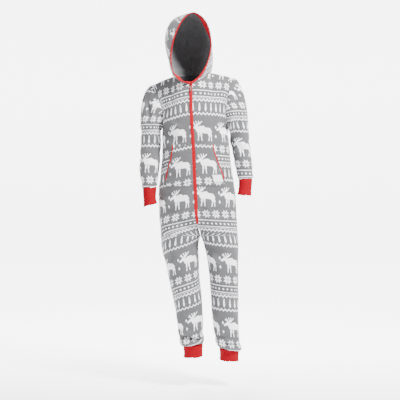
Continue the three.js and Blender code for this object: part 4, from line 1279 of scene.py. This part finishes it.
def build_hood():
    shares, ups = eased(62, 0.35), eased(74, 0.45)
    for side_name, side in SIDES.items():
        share, up = np.meshgrid(shares, ups)
        points, normals = hood_point(side, share, up), hood_normals(side, share, up)
        both = unit(normals[-1] + hood_normals(-side, shares, np.ones_like(shares)))
        near = np.clip(1 - (1 - up) / 0.05, 0, 1)[..., None]
        normals = unit(mix(normals, both[None], near))
        across, down = arc_lengths(points, 1), arc_lengths(points, 0)
        # The folds die away towards the facing, the crown seam and the neck seam.
        loose = np.clip((across - FACING_WIDE - 2) / 30, 0, 1)
        loose *= np.clip((1 - up) / 0.1, 0, 1) * np.clip(up / 0.05, 0, 1)
        slack = ripple(points, HOOD_SLACK, HOOD_SEED + side)
        depth = loose * (fold_depth("hood", points, normals) + slack)
        points = points + normals * (depth - edge_flare(side, across, up))[..., None]
        u = side * np.broadcast_to(across[len(ups) // 3], across.shape) + 20
        v = -(points[0, :, 2])[None, :] - down + 190
        # The hood takes the fleece that is painted lighter, as painted glare.
        piece, flat, area = cloth_piece(
            f"fleece_hood_{side_name}", points, normals, np.stack([u, v], -1) * MM, FLEECE,
            [material_of("hood_fleece_painted_lighter"), material_of("lining")], [f"hood_{side_name}"],
            "top bottom first",
        )


def build_hood_trim():
    points, normals, way = hood_edge()
    centre = points + way * (0.5 + BINDING_WIDE / 2) - normals * FLEECE / 2
    tube_trim(
        "red_hood_binding", centre, way, normals, BINDING_WIDE / 2, BINDING_THICK / 2,
        material_of("binding"), ["hood_binding"],
    )
    rows = []
    for side in (-1, 1):
        up = np.linspace(0, 1, EDGE_STEPS + 1)
        reach = np.linalg.norm(hood_point(side, 0.05, up) - hood_point(side, 0, up), axis=-1) / 0.05
        share = np.linspace(0, 1, 9)[None, :] * (FACING_WIDE / reach)[:, None]
        lift = -FLEECE - 3.5 * LAID_ON
        up = up[:, None] + 0 * share
        out = hood_normals(side, share, up)
        drawn_in = 1.08 * edge_flare(side, np.linspace(0, FACING_WIDE, 9), up)
        rows.append((hood_point(side, share, up) + out * (lift - drawn_in)[..., None], out))
    grid, out = (np.concatenate([rows[0][k], rows[1][k][::-1][1:]]) for k in (0, 1))
    # Both halves meet at the crown, where the strip runs on smoothly.
    first, last = EDGE_STEPS - 4, EDGE_STEPS + 5
    smooth = grid.copy()
    for _ in range(6):
        beside = smooth[first - 1 : last - 1] + 2 * smooth[first:last] + smooth[first + 1 : last + 1]
        smooth[first:last] = beside / 4
    piece, flat, area = cloth_piece(
        "red_hood_facing", smooth, out, None, FACING_CLOTH, [material_of("binding")], ["hood_facing"]
    )


def build_inner_seams():
    """The turned-in edges that close the seams inside: round the neck, over the crown and
    down the centre of the back"""
    share = np.linspace(0.08, 0.985, 70)
    top = np.ones_like(share)
    outer = unit(hood_normals(-1, share, top) + hood_normals(1, share, top))
    crown = (hood_point(-1, share, 1) + hood_point(1, share, 1)) / 2 - outer * (FLEECE + 1.1)
    turn = np.linspace(0.09, 1, 40) * math.pi
    neck = np.concatenate([neckline_point(-1, turn), neckline_point(1, turn[::-1][1:])])
    inward = unit(-(neck - neck.mean(axis=0)) * (1, 1, 0))
    neck = neck + inward * (FLEECE + 0.8)
    station = np.linspace(0.02, 2.6, 110)
    halves = [on_panel(side, 1, 0 * station, station, -FLEECE - 1.1) for side in (-1, 1)]
    back = (halves[0][0] + halves[1][0]) / 2
    for name, path, out in (("crown", crown, -outer), ("neck", neck, inward), ("back", back, -halves[0][1])):
        across = unit(np.cross(np.gradient(path, axis=0), out))
        tube_trim(f"turned_in_seam_{name}", path, across, out, 4.2, 0.7, material_of("lining"), [])


def station_of(z):
    """The station down the trunk at a height"""
    return 1 + (z - UNDERARM_Z) / (CROTCH_TOP_Z - UNDERARM_Z)


def front_width(side, share, more, stations):
    """The width of a front panel from one share of it to a little more"""
    near, far = (panel_point(side, -1, at, stations) for at in (share, share + more))
    return np.linalg.norm(far - near, axis=-1)


def tape_share(side, stations):
    """The share of a front panel's width that the tape covers"""
    return 0.06 * TAPE_WIDE / front_width(side, 0.0, 0.06, stations)


def mouth_share(side, z, past=0.0):
    """The share of the pocket's mouth at a height, and past it towards the side seam"""
    share = along(PARTING, name_of(side), z)
    return share + 0.05 * past / front_width(side, share, 0.05, station_of(z))


def build_pockets():
    for side_name, side in SIDES.items():
        z = np.linspace(POCKET_TOP_Z, POCKET_BOTTOM_Z, 45)
        inner = tape_share(side, station_of(z)) * 1.08
        outer = mouth_share(side, z)
        columns = eased(30)[None, :]
        share = mix(inner[:, None], outer[:, None], columns)
        points, normals = on_panel(side, -1, share, station_of(z)[:, None], LAID_ON + POCKET_CLOTH)
        across = arc_lengths(points, 1) + TAPE_WIDE
        down = np.linspace(0, 1, len(z))[:, None]
        puff = POCKET_PUFF * np.sin(math.pi * np.clip(columns, 0, 1)) ** 0.5 * np.sin(math.pi * down) ** 0.6
        points = points + normals * puff[..., None]
        u = side * across - 14
        v = -points[..., 2] + PRINT_SLOPE[side_name] * u - 160
        piece, flat, area = cloth_piece(
            f"fleece_pocket_{side_name}", points, normals, np.stack([u, v], -1) * MM, POCKET_CLOTH,
            [material_of("fleece"), material_of("lining")], [f"pocket_{side_name}"],
        )
        z = np.linspace(POCKET_TOP_Z, SLIT_END_Z, 70)
        near = on_panel(side, -1, mouth_share(side, z, 0.3), station_of(z))[0]
        far, out = on_panel(side, -1, mouth_share(side, z, MOUTH_BINDING_WIDE), station_of(z))
        centre = (near + far) / 2 + out * (LAID_ON + MOUTH_BINDING_THICK / 2)
        tube_trim(
            f"red_pocket_binding_{side_name}", centre, unit(far - near), out, (MOUTH_BINDING_WIDE - 0.4) / 2,
            MOUTH_BINDING_THICK / 2, material_of("binding"), [f"pocket_binding_{side_name}"],
        )


def label_grid(lift):
    """The patch near the lower outer corner of the left pocket"""
    z = np.linspace(LABEL_TOP_Z, LABEL_BOTTOM_Z, 20)
    inner, outer = mouth_share(1, z, -50), mouth_share(1, z, -7)
    share = mix(inner[:, None], outer[:, None], np.linspace(0, 1, 22)[None, :])
    return on_panel(1, -1, share, station_of(z)[:, None], lift)


def build_label():
    points, normals = label_grid(LAID_ON + POCKET_CLOTH + POCKET_PUFF + LAID_ON + LABEL_CLOTH)
    piece, flat, area = cloth_piece(
        "blank_patch", points, normals, None, LABEL_CLOTH, [material_of("label")], ["label_patch"]
    )


def zip_line(count, lift):
    """Points down the middle of the zip, its ways down and across, and its normals"""
    station = np.linspace(0, ZIP_END, count)
    right, right_out = on_panel(-1, -1, 0.0, station, lift)
    left, left_out = on_panel(1, -1, 0.0, station, lift)
    middle, out = (right + left) / 2, unit(right_out + left_out)
    down = unit(np.gradient(middle, axis=0))
    return middle, down, unit(np.cross(out, down)), out


def spaced(points, pitch, *others):
    """Resamples a path at an even pitch, with the vectors that go with it"""
    length = arc_lengths(points[:, None], 0)[:, 0]
    at = np.arange(pitch / 2, length[-1], pitch)
    return [
        np.stack([np.interp(at, length, rows[:, k]) for k in range(3)], -1) for rows in (points, *others)
    ]


def frame_at(point, along_it, out, size):
    """A matrix that puts a unit shape at a point: X along, Z out"""
    x = Vector(along_it).normalized()
    z = (Vector(out) - x * Vector(out).dot(x)).normalized()
    y = z.cross(x)
    turn = Matrix((x, y, z)).transposed().to_4x4()
    return Matrix.Translation(Vector(point) * MM) @ turn @ Matrix.Diagonal((*(v * MM for v in size), 1))


def bevelled(bm, offset, segments):
    """Takes the sharpness off every edge"""
    edges = list(bm.edges)
    bmesh.ops.bevel(
        bm, geom=edges, offset=offset, segments=segments, profile=0.5, affect="EDGES", material=-1
    )


def build_zip():
    for side_name, side in SIDES.items():
        station = np.linspace(0, ZIP_END, 150)
        edge = tape_share(side, station)
        columns = np.linspace(0.03, 1, 7)[None, :]
        points, normals = on_panel(side, -1, edge[:, None] * columns, station[:, None], LAID_ON + ZIP_TAPE)
        piece, flat, area = cloth_piece(
            f"red_zip_tape_{side_name}", points, normals, None, ZIP_TAPE, [material_of("tape")],
            [f"zip_tape_{side_name}"],
        )
    pitch = bpy.context.scene.pajama_sizes.tooth_pitch / MM
    middle, down, across, out = zip_line(260, LAID_ON + ZIP_TAPE)
    bm = bmesh.new()
    teeth = zip(*spaced(middle, pitch / 2, down, across, out))
    for k, (point, way, side_way, normal) in enumerate(teeth):
        offset = side_way * (0.75 if k % 2 else -0.75) + normal * 0.35
        tooth = frame_at(point + offset, way, normal, (pitch * 0.42, 2.9, 1.3))
        bmesh.ops.create_cube(bm, size=1, matrix=tooth)
    bevelled(bm, 0.0002, 1)
    finish_piece("red_zip_teeth", bm, [material_of("teeth")], [])
    stops = bmesh.new()
    for k, wide, size in ((-1, 0, (5, 6.4, 2.2)), (0, -2.6, (4.4, 2.4, 2.2)), (0, 2.6, (4.4, 2.4, 2.2))):
        point = middle[k] + across[k] * wide + out[k] * 0.8 + down[k] * (2.5 if k == 0 else 0)
        bmesh.ops.create_cube(stops, size=1, matrix=frame_at(point, down[k], out[k], size))
    bevelled(stops, 0.0005, 2)
    finish_piece("zip_stops", stops, [material_of("slider")], [])
    for name in ("zip_slider", "zip_pull"):
        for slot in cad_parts[name].material_slots:
            slot.material = material_of(name.removeprefix("zip_"))


def sew(name, rows, thread):
    """Rows of stitches, each a path with its normals, as short beads of thread"""
    pitch = bpy.context.scene.pajama_sizes.stitch_pitch / MM
    bm = bmesh.new()
    for points, out in rows:
        ways = unit(np.gradient(points, axis=0))
        for point, way, normal in zip(*spaced(points, pitch, ways, out)):
            bead = frame_at(point, way, normal, (pitch * 0.38, 0.5, 0.4))
            bmesh.ops.create_icosphere(bm, subdivisions=1, radius=1, matrix=bead)
    finish_piece(name, bm, [material_of(thread)], [])


def build_stitching():
    body_rows, trim_rows = [], []
    for side in (-1, 1):
        station = np.linspace(0.01, ZIP_END - 0.02, 200)
        edge = tape_share(side, station)
        body_rows.append(on_panel(side, -1, edge * 1.45, station, 0.1))
        trim_rows.append(on_panel(side, -1, edge * 0.8, station, LAID_ON + ZIP_TAPE + 0.1))
        lift = LAID_ON + POCKET_CLOTH + 0.25
        for z in (POCKET_TOP_Z - 4, POCKET_BOTTOM_Z + 4):
            heights = np.full(40, float(z))
            start = tape_share(side, station_of(heights)) * 1.3
            share = mix(start, mouth_share(side, heights, -2), np.linspace(0, 1, 40))
            body_rows.append(on_panel(side, -1, share, station_of(heights), lift))
        z = np.linspace(POCKET_TOP_Z - 3, SLIT_END_Z + 3, 60)
        trim_rows.append(on_panel(side, -1, mouth_share(side, z, 5.4), station_of(z), LAID_ON + 2.2))
    points, normals, way = hood_edge()
    # One row of stitches on the outer side of the hood's binding, and one on its inner side.
    for sign in (1, -1):
        lift = -FLEECE / 2 + sign * (BINDING_THICK / 2 - 0.15)
        trim_rows.append((points + way * 2.2 + normals * lift, normals * sign))
    sew("grey_stitching", body_rows, "grey_thread")
    sew("red_stitching", trim_rows, "red_thread")
    grid, out = label_grid(LAID_ON * 2 + POCKET_CLOTH + POCKET_PUFF + LABEL_CLOTH + 0.1)
    edges = [(grid[k], out[k]) for k in (1, -2)] + [(grid[:, k], out[:, k]) for k in (1, -2)]
    sew("patch_stitching", edges, "grey_thread")


def build_stage():
    """A pale studio sweep, soft lights and the camera"""
    bm = bmesh.new()
    bmesh.ops.create_grid(bm, x_segments=8, y_segments=60, size=0.5)
    # The floor runs from front_y to bend_y, curves up over the radius bend and goes on as a wall.
    wide, long, front_y, bend_y, bend = 28, 24, -10, 6, 2.2
    for vertex in bm.verts:
        run = (vertex.co.y + 0.5) * long + front_y
        turn = min(max((run - bend_y) / bend, 0), math.pi / 2)
        y = min(run, bend_y) + bend * math.sin(turn)
        z = FLOOR_Z + bend * (1 - math.cos(turn)) + max(0, run - bend_y - bend * math.pi / 2)
        vertex.co = Vector((vertex.co.x * wide, y, z))
    mesh = bpy.data.meshes.new("studio_sweep")
    bm.to_mesh(mesh)
    bm.free()
    mesh.polygons.foreach_set("use_smooth", [True] * len(mesh.polygons))
    sweep = bpy.data.objects.new("studio_sweep", mesh)
    bpy.context.scene.collection.objects.link(sweep)
    material, tree, shader = new_material("pale paper", 0.9)
    coloured(tree, shader, noise_over(tree, 3, 2), (0.86, 0.86, 0.87), (0.9, 0.9, 0.91))
    shader.inputs["Emission Color"].default_value = (1, 1, 1, 1)
    # The paper in front of the camera glows less than the paper behind the garment.
    behind = (object_axes(tree)[1] + 0.7).math("MULTIPLY", 0.6, clamp=True)
    tree.links.new((behind * 4.0 + 0.4).socket, shader.inputs["Emission Strength"])
    mesh.materials.append(material)

    world = bpy.data.worlds.new("soft studio")
    world.use_nodes = True
    background = world.node_tree.nodes["Background"]
    background.inputs["Color"].default_value = (1, 1, 1, 1)
    background.inputs["Strength"].default_value = 0.33
    bpy.context.scene.world = world
    target = Vector((0.03, 0, -0.6))
    for name, spot, size, power in (
        ("key", (1.6, -1.7, 1.8), 0.7, 430),
        ("fill", (-2.4, -2.4, 0.9), 2.0, 100),
        ("back", (-0.8, 2.6, 1.8), 1.6, 190),
    ):
        light = bpy.data.lights.new(name, "AREA")
        light.energy, light.size = power, size
        lamp = bpy.data.objects.new(name, light)
        lamp.location = spot
        lamp.rotation_euler = (target - Vector(spot)).to_track_quat("-Z", "Y").to_euler()
        bpy.context.scene.collection.objects.link(lamp)

    camera = bpy.data.objects.new("camera", bpy.data.cameras.new("camera"))
    camera.location = (0.04, -CAMERA_AWAY, -0.62)
    camera.rotation_euler = (math.pi / 2, 0, 0)
    camera.data.angle = 2 * math.atan(HALF_VIEW / CAMERA_AWAY)
    bpy.context.scene.collection.objects.link(camera)
    bpy.context.scene.camera = camera


class ONESIE_OT_body_panels(bpy.types.Operator):
    """Cut and fold the two fronts and the two backs"""

    bl_idname = "onesie.body_panels"
    bl_label = "Body panels"

    def execute(self, context):
        build_body_panels()
        return {"FINISHED"}


class ONESIE_OT_sleeves(bpy.types.Operator):
    """Hang both sleeves from their armholes"""

    bl_idname = "onesie.sleeves"
    bl_label = "Sleeves"

    def execute(self, context):
        build_sleeves()
        return {"FINISHED"}


class ONESIE_OT_cuffs(bpy.types.Operator):
    """Knit the ribbed cuffs at wrists and ankles"""

    bl_idname = "onesie.cuffs"
    bl_label = "Ribbed cuffs"

    def execute(self, context):
        build_cuffs()
        return {"FINISHED"}


class ONESIE_OT_hood(bpy.types.Operator):
    """Drape the two halves of the hood"""

    bl_idname = "onesie.hood"
    bl_label = "Hood"

    def execute(self, context):
        build_hood()
        return {"FINISHED"}


class ONESIE_OT_hood_trim(bpy.types.Operator):
    """Bind and face the edge of the hood"""

    bl_idname = "onesie.hood_trim"
    bl_label = "Hood binding and facing"

    def execute(self, context):
        build_hood_trim()
        build_inner_seams()
        return {"FINISHED"}


class ONESIE_OT_pockets(bpy.types.Operator):
    """Lay on the pockets and bind their mouths"""

    bl_idname = "onesie.pockets"
    bl_label = "Pockets"

    def execute(self, context):
        build_pockets()
        return {"FINISHED"}


class ONESIE_OT_label(bpy.types.Operator):
    """Lay on the blank patch"""

    bl_idname = "onesie.label"
    bl_label = "Blank patch"

    def execute(self, context):
        build_label()
        return {"FINISHED"}


class ONESIE_OT_zip(bpy.types.Operator):
    """Set in the zip: tapes, teeth, stops, slider and pull"""

    bl_idname = "onesie.zip"
    bl_label = "Zip"

    def execute(self, context):
        build_zip()
        return {"FINISHED"}


class ONESIE_OT_stitching(bpy.types.Operator):
    """Sew the rows of stitches that show"""

    bl_idname = "onesie.stitching"
    bl_label = "Stitching"

    def execute(self, context):
        build_stitching()
        return {"FINISHED"}


class ONESIE_OT_stage(bpy.types.Operator):
    """Set the pale floor, the lights and the camera"""

    bl_idname = "onesie.stage"
    bl_label = "Studio stage"

    def execute(self, context):
        build_stage()
        return {"FINISHED"}


OPERATORS = (
    ONESIE_OT_stage,
    ONESIE_OT_body_panels,
    ONESIE_OT_sleeves,
    ONESIE_OT_cuffs,
    ONESIE_OT_hood,
    ONESIE_OT_hood_trim,
    ONESIE_OT_pockets,
    ONESIE_OT_label,
    ONESIE_OT_zip,
    ONESIE_OT_stitching,
)


class ONESIE_PT_panel(bpy.types.Panel):
    """Lists the pajama's pieces in the sidebar"""

    bl_idname = "ONESIE_PT_panel"
    bl_label = "Onesie Pajama"
    bl_space_type = "VIEW_3D"
    bl_region_type = "UI"
    bl_category = "Onesie"

    def draw(self, context):
        for settings in (context.scene.pajama_colours, context.scene.pajama_sizes):
            for key in settings.__annotations__:
                self.layout.prop(settings, key)
        for operator in OPERATORS:
            self.layout.operator(operator.bl_idname)


CLASSES = (PajamaColours, PajamaSizes, *OPERATORS, ONESIE_PT_panel)


def register():
    for cls in CLASSES:
        bpy.utils.register_class(cls)
    bpy.types.Scene.pajama_colours = bpy.props.PointerProperty(type=PajamaColours)
    bpy.types.Scene.pajama_sizes = bpy.props.PointerProperty(type=PajamaSizes)


def unregister():
    del bpy.types.Scene.pajama_sizes
    del bpy.types.Scene.pajama_colours
    for cls in reversed(CLASSES):
        bpy.utils.unregister_class(cls)


def main():
    register()
    for operator in OPERATORS:
        group, name = operator.bl_idname.split(".")
        getattr(getattr(bpy.ops, group), name)()


if __name__ == "__main__":
    main()
